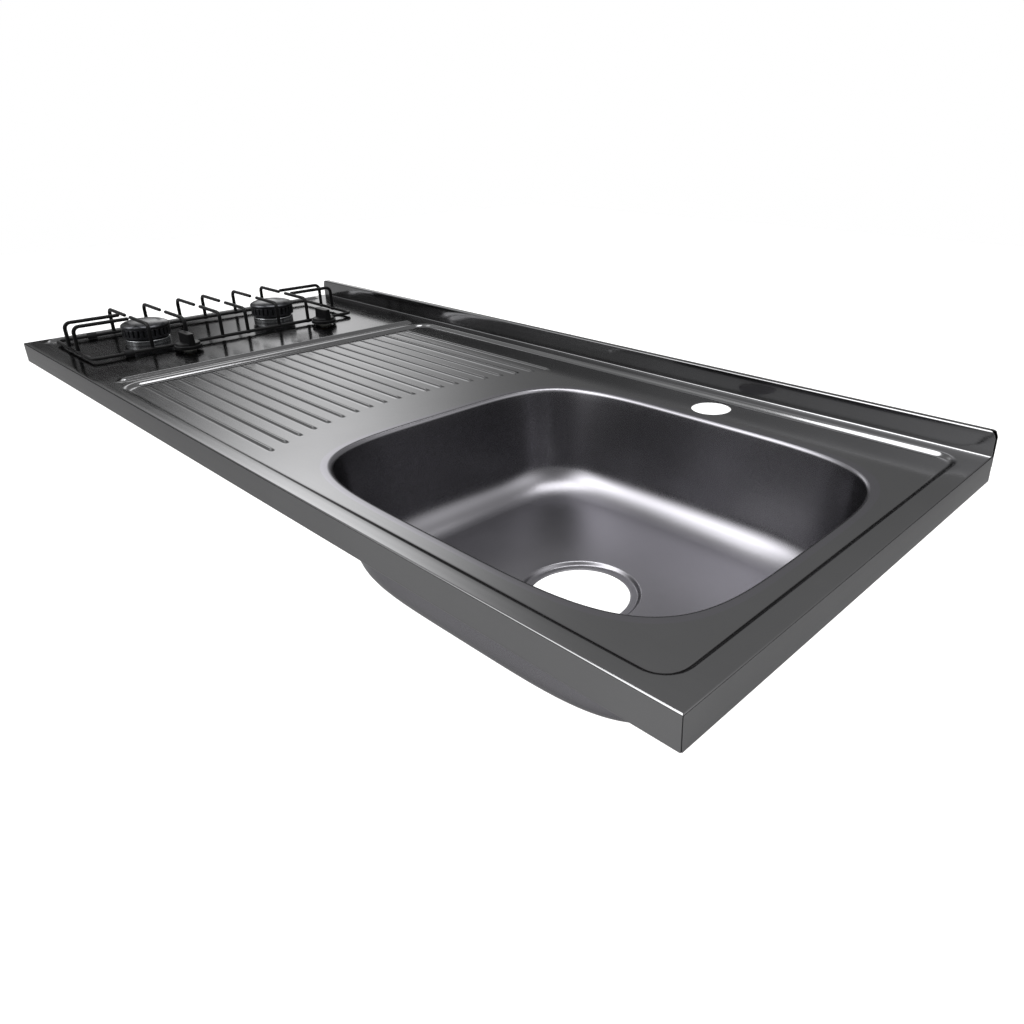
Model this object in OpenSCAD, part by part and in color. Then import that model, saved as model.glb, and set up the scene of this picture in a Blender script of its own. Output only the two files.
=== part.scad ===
/* [Worktop] */
// Length of the worktop, left to right
worktop_length = 1200; // [1120:10:1500]
// Width of the worktop, front to back
worktop_width = 500; // [495:5:620]
// Thickness of the steel sheet
sheet_t = 1; // [0.8:0.1:1.2]
// Height of the folded-down front, side and rear aprons
apron_height = 28; // [24:1:40]
// Width of the lip turned in under each apron
lip_width = 12; // [8:1:20]
// Outside radius of the long folds
fold_r = 2.5; // [2:0.5:3]
// Height of the upstand along the rear edge
upstand_height = 26; // [15:1:60]
// Depth of the upstand from its face to its back
upstand_depth = 8; // [6:1:20]
// Radius of the upstand's top corners
upstand_corner_r = 6.5; // [3:0.5:10]
// Open slit at the front corners, between the aprons
corner_slit = 1.2; // [1.2:0.1:2]

/* [Recess] */
// Length of the hob end, from the left edge to the recess
hob_end_length = 330; // [330:1:340]
// Flat border in front of the recess
recess_front = 14; // [13:1:18]
// Flat border behind the recess
recess_back = 15; // [12:1:25]
// Flat border to the right of the recess
recess_side = 19; // [15:1:30]
// Depth of the recess below the border
recess_depth = 4; // [3:0.5:5]
// Width of the recess's sloping flank
recess_flank = 9; // [6:1:10]
// Corner radius of the recess at its outer edge
recess_corner_r = 26; // [22:1:40]

/* [Bowl] */
// Length of the bowl's mouth
bowl_length = 456; // [400:2:460]
// Width of the bowl's mouth, front to back
bowl_width = 366; // [330:2:370]
// Depth of the bowl's floor below the recess
bowl_depth = 124; // [100:1:180]
// Distance from the worktop's right edge to the bowl's middle
bowl_from_right = 274; // [270:1:300]
// Distance from the front edge to the bowl's middle
bowl_from_front = 224; // [222:1:232]
// How square the bowl's outline is: 2 is an ellipse
bowl_squareness = 4.5; // [3.5:0.1:6]
// Radius of the rolled rim
rim_r = 8; // [6:0.5:10]
// Inward slope of the wall over its height
wall_taper = 10; // [6:1:16]
// Radius between wall and floor
floor_r = 36; // [25:1:45]
// Fall of the floor towards the waste
floor_fall = 2; // [1:0.5:4]

/* [Waste and tap holes] */
// Distance of the waste hole right of the bowl's middle
waste_right = 3; // [-10:1:10]
// Distance of the waste hole in front of the bowl's middle
waste_forward = 21; // [0:1:25]
// Radius of the waste hole
waste_r = 50.5; // [40:0.5:52]
// Radius of the sunk seat round the waste hole
waste_seat_r = 59.5; // [56:0.5:62]
// Depth of the sunk seat
waste_seat_depth = 4; // [2.5:0.5:6]
// Radius of the tap hole
tap_hole_r = 22.5; // [16:0.5:22.5]
// Distance of the tap hole left of the bowl's middle
tap_hole_left = 15; // [-60:1:60]
// Distance from the upstand's face to the tap hole's middle
tap_hole_from_upstand = 49; // [48:1:52]

/* [Drainer] */
// Number of raised drainer ridges
ridge_count = 20; // [8:1:20]
// Spacing of the ridges
ridge_pitch = 20.3; // [16:0.1:20.5]
// Width of a ridge
ridge_width = 7; // [6:0.5:8]
// Height of a ridge
ridge_height = 2.5; // [1.5:0.1:2.8]
// Distance from the recess's left edge to the ridges
ridge_start = 18; // [16:1:60]
// Distance between the bowl's left side and the nearest ridge ends
drainer_gap = 84; // [70:1:120]
// Radius of the arc that the ridge ends follow
drainer_arc_r = 428; // [300:1:600]

/* [Hob] */
// Distance from the left edge to the middle of the burners
hob_from_left = 124; // [120:1:126]
// Distance from the front edge to the middle of the hob
hob_from_front = 227; // [220:1:245]
// Distance between the two burners
burner_spacing = 196; // [190:1:200]
// Width of the two pressed beads beside the hob
bead_width = 14; // [10:1:16]
// Height of the beads
bead_height = 4; // [2:0.5:4.5]
// Distance from the left edge to the left bead's middle
left_bead_x = 24; // [16:1:26]
// Distance from the recess's left edge back to the right bead's middle
right_bead_gap = 18; // [16:1:22]
// Distance from the front edge to the beads' front ends
bead_front = 27; // [24:1:40]
// Distance from the upstand's face to the beads' rear ends
bead_rear = 30; // [20:1:50]

/* [Burners] */
// Radius of the flame crown
crown_r = 32; // [30:0.5:34]
// Height of the crown above its cup
crown_height = 14.7; // [12:0.1:16]
// Number of flame slots in a crown
slot_count = 28; // [16:1:32]
// Width of a flame slot
slot_width = 1.6; // [1:0.1:2]
// Height of the domed burner cap
cap_height = 11; // [9:0.5:11]
// Radius of the burner cup
cup_r = 30; // [29:0.5:31]
// Height of the burner cup above the hob
cup_height = 6.5; // [5:0.5:7]
// Radius of the cup's neck
cup_neck_r = 24.5; // [23:0.5:25]
// Length of the mixing tube below its flange
mixing_length = 40; // [30:1:42]

/* [Pan support] */
// Length of the pan support over its end wires
rack_length = 392; // [380:2:396]
// Width of the pan support over its base wires
rack_width = 148; // [140:1:148]
// Height of the pan support's top wires
rack_height = 40; // [38:1:50]
// Radius of the wire
wire_r = 2.5; // [2:0.1:3]
// Height of the base wires
base_height = 5; // [4.5:0.1:6]
// Radius of the wire's bends
wire_bend_r = 8; // [6:0.5:10]
// Gap over each burner between facing fingers
finger_gap = 23; // [20:1:50]
// Length of the top wires at both ends
end_wire_length = 70; // [50:1:74]
// Distance between the two top wires at each end
end_wire_spacing = 36; // [20:1:50]

/* [Knobs] */
// Distance from the left edge to the knobs' middle
knob_from_left = 221.5; // [220:0.5:225]
// Distance from the front edge to the front knob
front_knob_y = 147; // [140:1:160]
// Distance from the front edge to the rear knob
rear_knob_y = 360; // [350:1:380]
// Radius of the knob's skirt
skirt_r = 18.5; // [17:0.5:19]
// Height of the knob's top above the hob
knob_height = 25.5; // [22:0.5:30]
// Width of the knob's grip
grip_width = 11; // [9:0.5:13]
// How far a knob pushes in
push_travel = 3; // [2:0.1:3]

/* [Gas parts] */
// Depth of the tray under the hob
tray_depth = 85; // [84:1:100]
// Radius of the gas manifold pipe
manifold_r = 8; // [7:0.5:8.5]
// Depth of the manifold's middle below the hob
manifold_z = 52; // [51:1:56]
// Radius of the burner gas tubes
gas_tube_r = 4; // [3:0.5:4]
// Radius of the inlet's pipe thread
inlet_r = 10.3; // [9:0.1:12]
// Length of the inlet's pipe thread
inlet_length = 15; // [12:1:20]

/* [Underside] */
// Width of the stiffening channels
channel_width = 24; // [16:1:26]
// Depth of the stiffening channels
channel_depth = 16; // [12:1:20]
// Thickness of the channels' steel
channel_t = 1.2; // [1:0.1:2]
// Thickness of the sound damping pad
pad_t = 3; // [2:0.5:5]
// Radius of the cabinet screw holes in the brackets
bracket_hole_r = 2.5; // [2:0.1:3]

/* [Hidden] */
$fn = 64;

// Clearances and small overlaps
eps = 0.01;
cut = 1;
lift_gap = 0.3;
turn_gap = 0.08;
bolt_gap = 0.1;
hole_gap = 0.4;

// Worktop
land_y = worktop_width - upstand_depth;
recess_floor = -recess_depth;
recess_x0 = hob_end_length;
recess_x1 = worktop_length - recess_side;
recess_y0 = recess_front;
recess_y1 = land_y - recess_back;
lip_z = -apron_height;
under_hob = -sheet_t;
under_recess = recess_floor - sheet_t;

// Bowl
bowl_x = worktop_length - bowl_from_right;
bowl_y = bowl_from_front;
bowl_half_l = bowl_length / 2;
bowl_half_w = bowl_width / 2;
bowl_points = 72;
rim_out = rim_r - 2;
bowl_floor = recess_floor - bowl_depth;
waste_x = bowl_x + waste_right;
waste_y = bowl_y - waste_forward;
waste_z = bowl_floor - floor_fall;
waste_flat_r = waste_seat_r + 6;
waste_boss_r = waste_seat_r + 2;
tap_hole_x = bowl_x - tap_hole_left;
tap_hole_y = land_y - tap_hole_from_upstand;

// Drainer
ridge_r = (pow(ridge_width / 2, 2) + pow(ridge_height, 2)) / (2 * ridge_height);
ridge_z = recess_floor + ridge_height - ridge_r;
ridge_x0 = recess_x0 + ridge_start;
ridge_mid_y = (recess_y0 + recess_y1) / 2 - 9.5;
arc_x = bowl_x - bowl_half_l - drainer_gap + drainer_arc_r;

// Hob
bead_r = (pow(bead_width / 2, 2) + pow(bead_height, 2)) / (2 * bead_height);
bead_z = bead_height - bead_r;
bead_x = [left_bead_x, recess_x0 - right_bead_gap];
bead_y1 = land_y - bead_rear;
front_burner_y = hob_from_front - burner_spacing / 2;
rear_burner_y = hob_from_front + burner_spacing / 2;
burner_y = [front_burner_y, rear_burner_y];
knob_y = [front_knob_y, rear_knob_y];

// Burners, heights above the hob
burner_hole_r = cup_neck_r + hole_gap;
cup_wall = 4;
cup_floor_t = 2;
neck_wall = 2.5;
neck_depth = 9;
throat_r = 9;
crown_z = cup_height + lift_gap;
crown_step = 2;
crown_bore_r = 22;
crown_top = crown_z + crown_height;
cap_seat_r = 27;
cap_r = crown_r + 0.5;
cap_top = crown_top + lift_gap + cap_height;
mixing_flange_r = 33;
mixing_flange_t = 3;
mixing_wall_r = 28;
mixing_floor_t = 4;
mixing_tube_r = 13;
mixing_bore_r = 8;
mixing_floor_z = -neck_depth - mixing_floor_t;
mixing_end = mixing_flange_t + mixing_length;
jet_base_t = 4;
jet_window = 15;
jet_base_z = -mixing_end - jet_window - jet_base_t;
jet_r = 5;
jet_hex_r = 7;
jet_hex_h = 4;
jet_end = jet_base_z - jet_hex_h;
jet_body = jet_hex_h + jet_base_t + 5;
jet_tip_r = 2;
jet_hole_r = 0.5;
screw_r = 2;
screw_head_r = 3.5;
screw_head_h = 2.5;
screw_circle_r = 17;

// Taps and knobs, heights above the hob
tap_r = 10;
tap_flange_r = 13;
tap_flange_t = 3;
neck_r = 7;
neck_top = 6;
nut_r = 10;
nut_h = 4;
tap_bottom = -36;
plug_r = 6;
plug_z0 = -29;
plug_z1 = -9;
spindle_r = 4;
spindle_flat = 2.9;
spindle_z0 = -19;
socket_depth = 16;
spindle_top = knob_height - 5;
outlet_z = -24;
outlet_r = 6;
outlet_reach = 17;
outlet_bore_r = 2.5;
block_half = 17;
block_depth = 9;
block_z = -manifold_z + manifold_r - 1;
clamp_t = 1.5;
clamp_screw_x = 13;
knob_z = push_travel + 0.8;
skirt_h = 4.4;
skirt_hollow_r = 14.5;
hollow_top = neck_top + push_travel + 0.6;
hub_r = 7.5;
grip_r = skirt_r - 1.5;

// Tray and pipes
tray_t = 0.8;
tray_x0 = 36;
tray_x1 = recess_x0 - 34;
tray_y0 = 56;
tray_y1 = land_y - 40;
tray_flange = 9;
stud_r = 2.5;
stud_inset = 44;
stud_length = 10;
stud_nut_r = 4.6;
stud_nut_h = 4;
tube_run_x = 36;
tube_low_z = jet_end - 10;
tube_bend_r = 8;
tube_nut_r = 7;
tube_nut_l = 9;
manifold_wall = 1.5;
manifold_y0 = 100;
manifold_y1 = land_y - 17;
manifold_bend_r = 20;
manifold_end_z = -86;
grommet_t = 2.5;
inlet_hex_r = 14;
inlet_hex_h = 10;
socket_overlap = 6;

// Pan support
rack_x = [hob_from_left - rack_width / 2, hob_from_left + rack_width / 2];
rack_y = [hob_from_front - rack_length / 2, hob_from_front + rack_length / 2];
finger_y = [-119, -70, -19.5, 19.5, 70, 119];
foot_y = [-150, 150];
foot_length = 12;
foot_r = base_height - lift_gap;

// Underside
channel_y0 = recess_y0 + recess_flank + 4;
channel_y1 = recess_y1 - recess_flank - 4;
channel_inset = 90;
channel_bowl_gap = 26;
channel_x = [recess_x0 + channel_inset, bowl_x - bowl_half_l - channel_bowl_gap];
pad_x0 = channel_x[0] + channel_width + 20;
pad_x1 = channel_x[1] - channel_width - 20;
pad_margin = 60;
bracket_y = [100, 400];
bracket_w = 30;
bracket_leg = 31;
bracket_t = 1.5;
bracket_bend_r = 3;
bracket_h = 20;
bracket_hole_in = 22;

// The part's frame: the middle of the front lip's underside is the origin
module place() {
    translate([-worktop_length / 2, -lip_width / 2, apron_height]) children();
}

// A box given by its two corners
module box(low, high) {
    translate(low) cube(high - low);
}

// A flat rounded rectangle made of its own exact arcs
module round_rect(low, high, r) {
    translate([low[0] + r, low[1]]) square([high[0] - low[0] - 2 * r, high[1] - low[1]]);
    translate([low[0], low[1] + r]) square([high[0] - low[0], high[1] - low[1] - 2 * r]);
    for (x = [low[0] + r, high[0] - r], y = [low[1] + r, high[1] - r]) {
        translate([x, y]) circle(r);
    }
}

// A thin rounded plate at height z, a child of a hull
module corner_plate(low, high, r, z) {
    for (x = [low[0] + r, high[0] - r], y = [low[1] + r, high[1] - r]) {
        translate([x, y, z]) cylinder(r = r, h = eps, $fn = 32);
    }
}

// A round bar along +X or +Y with ball ends
module round_bar(from, length, r, along_y = false) {
    translate(from) rotate([0, 0, along_y ? 90 : 0]) {
        rotate([0, 90, 0]) cylinder(r = r, h = length);
        sphere(r);
        translate([length, 0, 0]) sphere(r);
    }
}

// A cylinder that runs along +Y
module y_cylinder(from, r, length) {
    translate(from) rotate([-90, 0, 0]) cylinder(r = r, h = length);
}

// A cylinder that runs along +X
module x_cylinder(from, r, length) {
    translate(from) rotate([0, 90, 0]) cylinder(r = r, h = length);
}

// Bent round wire or pipe: straight runs joined by true arcs at every inner point
function unit(v) = v / norm(v);
function turn_angle(u, v) = acos(max(-1, min(1, u * v)));
function trim(points, i, bend_r) = i == 0 || i == len(points) - 1 ? 0
    : bend_r * tan(turn_angle(unit(points[i] - points[i - 1]),
        unit(points[i + 1] - points[i])) / 2);
module straight_run(from, to, r) {
    d = to - from;
    translate(from) rotate([0, acos(d[2] / norm(d)), atan2(d[1], d[0])]) {
        cylinder(r = r, h = norm(d));
    }
}
module bend(point, u, v, r, bend_r) {
    angle = turn_angle(u, v);
    n = unit(v - (u * v) * u);
    w = cross(-n, u);
    c = point - u * bend_r * tan(angle / 2) + n * bend_r;
    multmatrix([[-n[0], u[0], w[0], c[0]], [-n[1], u[1], w[1], c[1]],
        [-n[2], u[2], w[2], c[2]], [0, 0, 0, 1]]) {
        rotate_extrude(angle = angle) translate([bend_r, 0]) circle(r, $fn = 32);
    }
}
module bent_wire(points, r, bend_r) {
    for (i = [0 : len(points) - 2]) {
        u = unit(points[i + 1] - points[i]);
        straight_run(points[i] + u * trim(points, i, bend_r),
            points[i + 1] - u * trim(points, i + 1, bend_r), r);
    }
    if (len(points) > 2) for (i = [1 : len(points) - 2]) {
        bend(points[i], unit(points[i] - points[i - 1]), unit(points[i + 1] - points[i]),
            r, bend_r);
    }
}

// Outline of the bowl, a superellipse grown by off, as 2D points
function power(v) = sign(v) * pow(abs(v), 2 / bowl_squareness);
function bowl_outline(off) = [for (i = [0 : bowl_points - 1])
    let (a = 360 * i / bowl_points)
    [bowl_x + (bowl_half_l + off) * power(cos(a)), bowl_y + (bowl_half_w + off) * power(sin(a))]];
function waste_circle(r) = [for (i = [0 : bowl_points - 1])
    let (a = 360 * i / bowl_points) [waste_x + r * cos(a), waste_y + r * sin(a)]];
function at_height(points, z) = [for (q = points) [q[0], q[1], z]];
function mixed(a, b, m) = [for (i = [0 : len(a) - 1]) a[i] * (1 - m) + b[i] * m];

// Rings of one skin of the bowl, rim first; s is 0 for the inside and the sheet's
// thickness for the outside
wall_in = rim_out - rim_r;
floor_in = wall_in - wall_taper - floor_r;
function bowl_rings(s) = concat(
    [for (t = [0 : 18 : 90])
        at_height(bowl_outline(rim_out - (rim_r - s) * sin(t)),
            recess_floor - rim_r + (rim_r - s) * cos(t))],
    [for (t = [0 : 15 : 90])
        at_height(bowl_outline(floor_in + (floor_r + s) * cos(t)),
            bowl_floor + floor_r - (floor_r + s) * sin(t))],
    [for (m = [0.5, 1])
        at_height(mixed(bowl_outline(floor_in), waste_circle(waste_flat_r), m),
            bowl_floor - s - floor_fall * m)]);
function flat_list(rings) = [for (ring = rings) for (q = ring) q];

module bowl_shell() {
    inside = bowl_rings(0);
    outside = bowl_rings(sheet_t);
    n = bowl_points;
    rows = len(inside);
    o = rows * n;
    points = concat(flat_list(inside), flat_list(outside),
        [[waste_x, waste_y, waste_z], [waste_x, waste_y, waste_z - sheet_t]]);
    faces = concat(
        [for (k = [0 : rows - 2], i = [0 : n - 1]) let (j = (i + 1) % n)
            [(k + 1) * n + j, k * n + j, k * n + i]],
        [for (k = [0 : rows - 2], i = [0 : n - 1]) let (j = (i + 1) % n)
            [(k + 1) * n + i, (k + 1) * n + j, k * n + i]],
        [for (k = [0 : rows - 2], i = [0 : n - 1]) let (j = (i + 1) % n)
            [o + k * n + i, o + k * n + j, o + (k + 1) * n + j]],
        [for (k = [0 : rows - 2], i = [0 : n - 1]) let (j = (i + 1) % n)
            [o + k * n + i, o + (k + 1) * n + j, o + (k + 1) * n + i]],
        [for (i = [0 : n - 1]) let (j = (i + 1) % n) [i, j, o + j]],
        [for (i = [0 : n - 1]) let (j = (i + 1) % n) [i, o + j, o + i]],
        [for (i = [0 : n - 1]) let (j = (i + 1) % n) [(rows - 1) * n + j, (rows - 1) * n + i, 2 * o]],
        [for (i = [0 : n - 1]) let (j = (i + 1) % n)
            [o + (rows - 1) * n + i, o + (rows - 1) * n + j, 2 * o + 1]]);
    polyhedron(points, faces, convexity = 6);
}

// Section of a folded apron: face, rounded fold and turned-in lip, drawn to the right of 0
module apron_section() {
    difference() {
        intersection() {
            round_rect([0, lip_z], [lip_width * 2, 0], fold_r);
            translate([0, lip_z]) square([lip_width, apron_height]);
        }
        intersection() {
            round_rect([sheet_t, lip_z + sheet_t], [lip_width * 3, -sheet_t], fold_r - sheet_t);
            translate([0, lip_z]) square([lip_width + cut, apron_height]);
        }
    }
}

// Section of the upstand and rear apron, drawn from its face at 0 to its back
module upstand_section() {
    difference() {
        round_rect([0, lip_z - lip_width], [upstand_depth, upstand_height], fold_r);
        round_rect([sheet_t, lip_z - 2 * lip_width],
            [upstand_depth - sheet_t, upstand_height - sheet_t], fold_r - sheet_t);
        translate([-cut, lip_z - 2 * lip_width]) square([upstand_depth + 2 * cut, 2 * lip_width]);
        translate([-cut, lip_z - cut]) square([sheet_t + 2 * cut, apron_height - sheet_t + cut]);
    }
}

// Stands a section drawn in the YZ plane upright and runs it along +X
module along_x(length) {
    rotate([90, 0, 90]) linear_extrude(length) children();
}

module side_apron() {
    translate([0, corner_slit, 0]) rotate([90, 0, 0]) mirror([0, 0, 1]) {
        linear_extrude(worktop_width - corner_slit - sheet_t) apron_section();
    }
}

module aprons() {
    translate([corner_slit, 0, 0]) along_x(worktop_length - 2 * corner_slit) apron_section();
    side_apron();
    translate([worktop_length, 0, 0]) mirror([1, 0, 0]) side_apron();
}

module upstand() {
    intersection() {
        translate([0, land_y, 0]) along_x(worktop_length) upstand_section();
        translate([0, worktop_width + cut, 0]) rotate([90, 0, 0]) {
            linear_extrude(worktop_width) {
                round_rect([0, lip_z - lip_width], [worktop_length, upstand_height],
                    upstand_corner_r);
            }
        }
    }
}

// The recess as a solid: grow widens and deepens it by the sheet's thickness
module recess_solid(grow) {
    hull() {
        corner_plate([recess_x0 - grow, recess_y0 - grow], [recess_x1 + grow, recess_y1 + grow],
            recess_corner_r, grow > 0 ? under_hob : 0);
        corner_plate([recess_x0 + recess_flank - grow, recess_y0 + recess_flank - grow],
            [recess_x1 - recess_flank + grow, recess_y1 - recess_flank + grow],
            recess_corner_r - recess_flank + 3, recess_floor - grow);
    }
}

// Ridge number i as a bar of radius r
module ridge_bar(i, r) {
    y = ridge_mid_y + (i - (ridge_count - 1) / 2) * ridge_pitch;
    x1 = arc_x - sqrt(pow(drainer_arc_r, 2) - pow(y - ridge_mid_y, 2));
    round_bar([ridge_x0, y, ridge_z], x1 - ridge_x0, r);
}

module bead_bar(x, r) {
    inset = bead_width / 2;
    round_bar([x, bead_front + inset, bead_z], bead_y1 - bead_front - 2 * inset, r, true);
}

module worktop_sheet() {
    color("silver") place() difference() {
        union() {
            difference() {
                union() {
                    box([fold_r, fold_r, under_hob], [worktop_length - fold_r, land_y + sheet_t, 0]);
                    recess_solid(sheet_t);
                }
                recess_solid(0);
            }
            aprons();
            upstand();
            intersection() {
                for (i = [0 : ridge_count - 1]) ridge_bar(i, ridge_r);
                box([recess_x0, recess_y0, under_recess], [recess_x1, recess_y1, 0]);
            }
            intersection() {
                for (x = bead_x) bead_bar(x, bead_r);
                box([0, 0, under_hob], [recess_x0, land_y, 2 * bead_height]);
            }
        }
        for (i = [0 : ridge_count - 1]) ridge_bar(i, ridge_r - sheet_t);
        for (x = bead_x) bead_bar(x, bead_r - sheet_t);
        translate([0, 0, under_recess - cut]) {
            linear_extrude(apron_height) polygon(bowl_outline(rim_out));
            translate([tap_hole_x, tap_hole_y, 0]) cylinder(r = tap_hole_r, h = apron_height);
        }
        for (y = burner_y) {
            translate([hob_from_left, y, under_hob - cut]) {
                cylinder(r = burner_hole_r, h = apron_height);
            }
        }
        for (y = knob_y) {
            translate([knob_from_left, y, under_hob - cut]) {
                cylinder(r = neck_r + hole_gap, h = apron_height);
            }
        }
    }
}

module sink_bowl() {
    color("lightslategray") place() difference() {
        union() {
            bowl_shell();
            translate([waste_x, waste_y, waste_z - waste_seat_depth - sheet_t]) {
                cylinder(r = waste_boss_r, h = waste_seat_depth + sheet_t);
            }
        }
        translate([waste_x, waste_y, waste_z - waste_seat_depth]) {
            cylinder(r = waste_seat_r, h = waste_seat_depth + cut);
            translate([0, 0, -sheet_t - cut]) cylinder(r = waste_r, h = waste_seat_depth);
        }
    }
}

// Upside-down U channel across the underside of the recess
module cross_channel(x) {
    h = channel_depth;
    color("gainsboro") place() difference() {
        box([x - channel_width / 2, channel_y0, under_recess - h],
            [x + channel_width / 2, channel_y1, under_recess]);
        box([x - channel_width / 2 + channel_t, channel_y0 - cut, under_recess - h - cut],
            [x + channel_width / 2 - channel_t, channel_y1 + cut, under_recess - channel_t]);
    }
}

module damping_pad() {
    color("dimgray") place() {
        box([pad_x0, recess_y0 + pad_margin, under_recess - pad_t],
            [pad_x1, recess_y1 - pad_margin, under_recess]);
    }
}

// Section of a bracket: two legs joined by a rounded bend
module bracket_section() {
    t = bracket_t;
    difference() {
        intersection() {
            round_rect([0, 0], [2 * bracket_leg, 2 * bracket_h], bracket_bend_r);
            square([bracket_leg, bracket_h]);
        }
        round_rect([t, t], [2 * bracket_leg, 2 * bracket_h], bracket_bend_r - t);
    }
}

// Angle inside a side apron, with its hole for a cabinet screw
module fixing_bracket() {
    z0 = lip_z + sheet_t;
    difference() {
        translate([sheet_t, bracket_w / 2, z0]) rotate([90, 0, 0]) {
            linear_extrude(bracket_w) bracket_section();
        }
        translate([bracket_hole_in, 0, z0 - cut]) cylinder(r = bracket_hole_r, h = bracket_h);
    }
}

module fixing_brackets() {
    color("gainsboro") place() for (y = bracket_y) {
        translate([0, y, 0]) fixing_bracket();
        translate([worktop_length, y, 0]) mirror([1, 0, 0]) fixing_bracket();
    }
}

function stud_places() = [
    for (x = [tray_x0 + stud_inset, (tray_x0 + tray_x1) / 2, tray_x1 - stud_inset],
        y = [tray_y0 - tray_flange / 2, tray_y1 + tray_flange / 2]) [x, y, 0]];

module burner_tray() {
    color("lightgray") place() difference() {
        union() {
            box([tray_x0, tray_y0, -tray_depth], [tray_x1, tray_y1, under_hob]);
            box([tray_x0 - tray_flange, tray_y0 - tray_flange, under_hob - tray_t],
                [tray_x1 + tray_flange, tray_y1 + tray_flange, under_hob]);
        }
        box([tray_x0 + tray_t, tray_y0 + tray_t, tray_t - tray_depth],
            [tray_x1 - tray_t, tray_y1 - tray_t, cut]);
        for (q = stud_places()) {
            translate(q) translate([0, 0, under_hob - cut]) {
                cylinder(r = stud_r + hole_gap, h = 2 * cut);
            }
        }
        y_cylinder([knob_from_left, tray_y1 - cut, -manifold_z], manifold_r + grommet_t, 2 * cut);
    }
}

module tray_studs() {
    color("silver") place() for (q = stud_places()) {
        translate(q) translate([0, 0, under_hob - stud_length]) cylinder(r = stud_r, h = stud_length);
    }
}

// Hexagon nut standing on z = 0
module hex_nut(r, h, bore_r) {
    difference() {
        cylinder(r = r, h = h, $fn = 6);
        translate([0, 0, -cut]) cylinder(r = bore_r, h = h + 2 * cut);
    }
}

module tray_nuts() {
    color("silver") place() for (q = stud_places()) {
        translate(q) translate([0, 0, under_hob - tray_t - stud_nut_h]) {
            hex_nut(stud_nut_r, stud_nut_h, stud_r + bolt_gap);
        }
    }
}

// Puts a burner piece at its place on the hob
module at_burner(y) {
    place() translate([hob_from_left, y, 0]) children();
}

module screw_holes(r, z0, z1) {
    for (side = [-1, 1]) translate([0, side * screw_circle_r, z0]) cylinder(r = r, h = z1 - z0);
}

module burner_cup(y) {
    color("silver") at_burner(y) difference() {
        union() {
            cylinder(r = cup_r, h = cup_height);
            translate([0, 0, -neck_depth]) cylinder(r = cup_neck_r, h = neck_depth + eps);
        }
        translate([0, 0, cup_floor_t]) cylinder(r = cup_r - cup_wall, h = cup_height);
        translate([0, 0, cup_floor_t - neck_depth]) {
            cylinder(r = cup_neck_r - neck_wall, h = neck_depth + cut);
        }
        translate([0, 0, -neck_depth - cut]) cylinder(r = throat_r, h = neck_depth);
        screw_holes(screw_r + bolt_gap, -neck_depth - cut, 0);
    }
}

module mixing_tube(y) {
    color("silver") at_burner(y) difference() {
        union() {
            translate([0, 0, under_hob - mixing_flange_t]) {
                cylinder(r = mixing_flange_r, h = mixing_flange_t);
            }
            translate([0, 0, mixing_floor_z]) {
                cylinder(r = mixing_wall_r, h = -mixing_floor_z + under_hob);
            }
            translate([0, 0, -mixing_end]) cylinder(r = mixing_tube_r, h = mixing_end + mixing_floor_z);
            for (side = [-1, 1]) translate([0, side * (mixing_tube_r - 2), jet_base_z]) {
                translate([-4, -2, 0]) cube([8, 4, -jet_base_z - mixing_end + 2]);
            }
            translate([0, 0, jet_base_z]) cylinder(r = mixing_tube_r, h = jet_base_t);
        }
        translate([0, 0, -neck_depth]) cylinder(r = cup_neck_r + bolt_gap, h = neck_depth + cut);
        translate([0, 0, -mixing_end - cut]) cylinder(r = mixing_bore_r, h = mixing_end);
        translate([0, 0, jet_base_z - cut]) cylinder(r = jet_r + bolt_gap, h = jet_base_t + 2 * cut);
        screw_holes(screw_r + bolt_gap, mixing_floor_z - cut, 0);
    }
}

module injector(y) {
    color("goldenrod") at_burner(y) difference() {
        union() {
            translate([0, 0, jet_end]) cylinder(r = jet_hex_r, h = jet_hex_h, $fn = 6);
            translate([0, 0, jet_end]) cylinder(r = jet_r, h = jet_body);
            translate([0, 0, jet_end + jet_body]) cylinder(r1 = jet_r, r2 = jet_tip_r, h = 3);
        }
        translate([0, 0, jet_end - cut]) cylinder(r = outlet_bore_r, h = jet_body);
        translate([0, 0, jet_end]) cylinder(r = jet_hole_r, h = 2 * jet_body);
    }
}

module burner_screws() {
    color("gainsboro") for (y = burner_y) at_burner(y) {
        for (side = [-1, 1]) translate([0, side * screw_circle_r, cup_floor_t - neck_depth]) {
            cylinder(r = screw_head_r, h = screw_head_h);
            translate([0, 0, -cup_floor_t - mixing_floor_t - 2]) {
                cylinder(r = screw_r, h = cup_floor_t + mixing_floor_t + 2 + eps);
            }
        }
    }
}

module burner_crown(y) {
    spigot_r = cup_r - cup_wall - lift_gap;
    color("lightgray") at_burner(y) difference() {
        rotate_extrude() polygon([
            [crown_bore_r, crown_z - 4], [spigot_r, crown_z - 4], [spigot_r, crown_z],
            [cup_r - 2, crown_z], [cup_r - 2, crown_z + crown_step],
            [crown_r - 1, crown_z + crown_step], [crown_r, crown_z + crown_step + 1],
            [crown_r, crown_top - 1], [crown_r - 1, crown_top], [cap_seat_r, crown_top],
            [cap_seat_r, crown_top - 3], [crown_bore_r + 2, crown_z + crown_step + 1],
            [crown_bore_r, crown_z + crown_step]]);
        for (i = [0 : slot_count - 1]) rotate([0, 0, 360 * i / slot_count]) {
            translate([crown_bore_r + 1, -slot_width / 2, crown_z + crown_step + 3]) {
                cube([crown_r, slot_width, crown_height]);
            }
        }
    }
}

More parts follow.
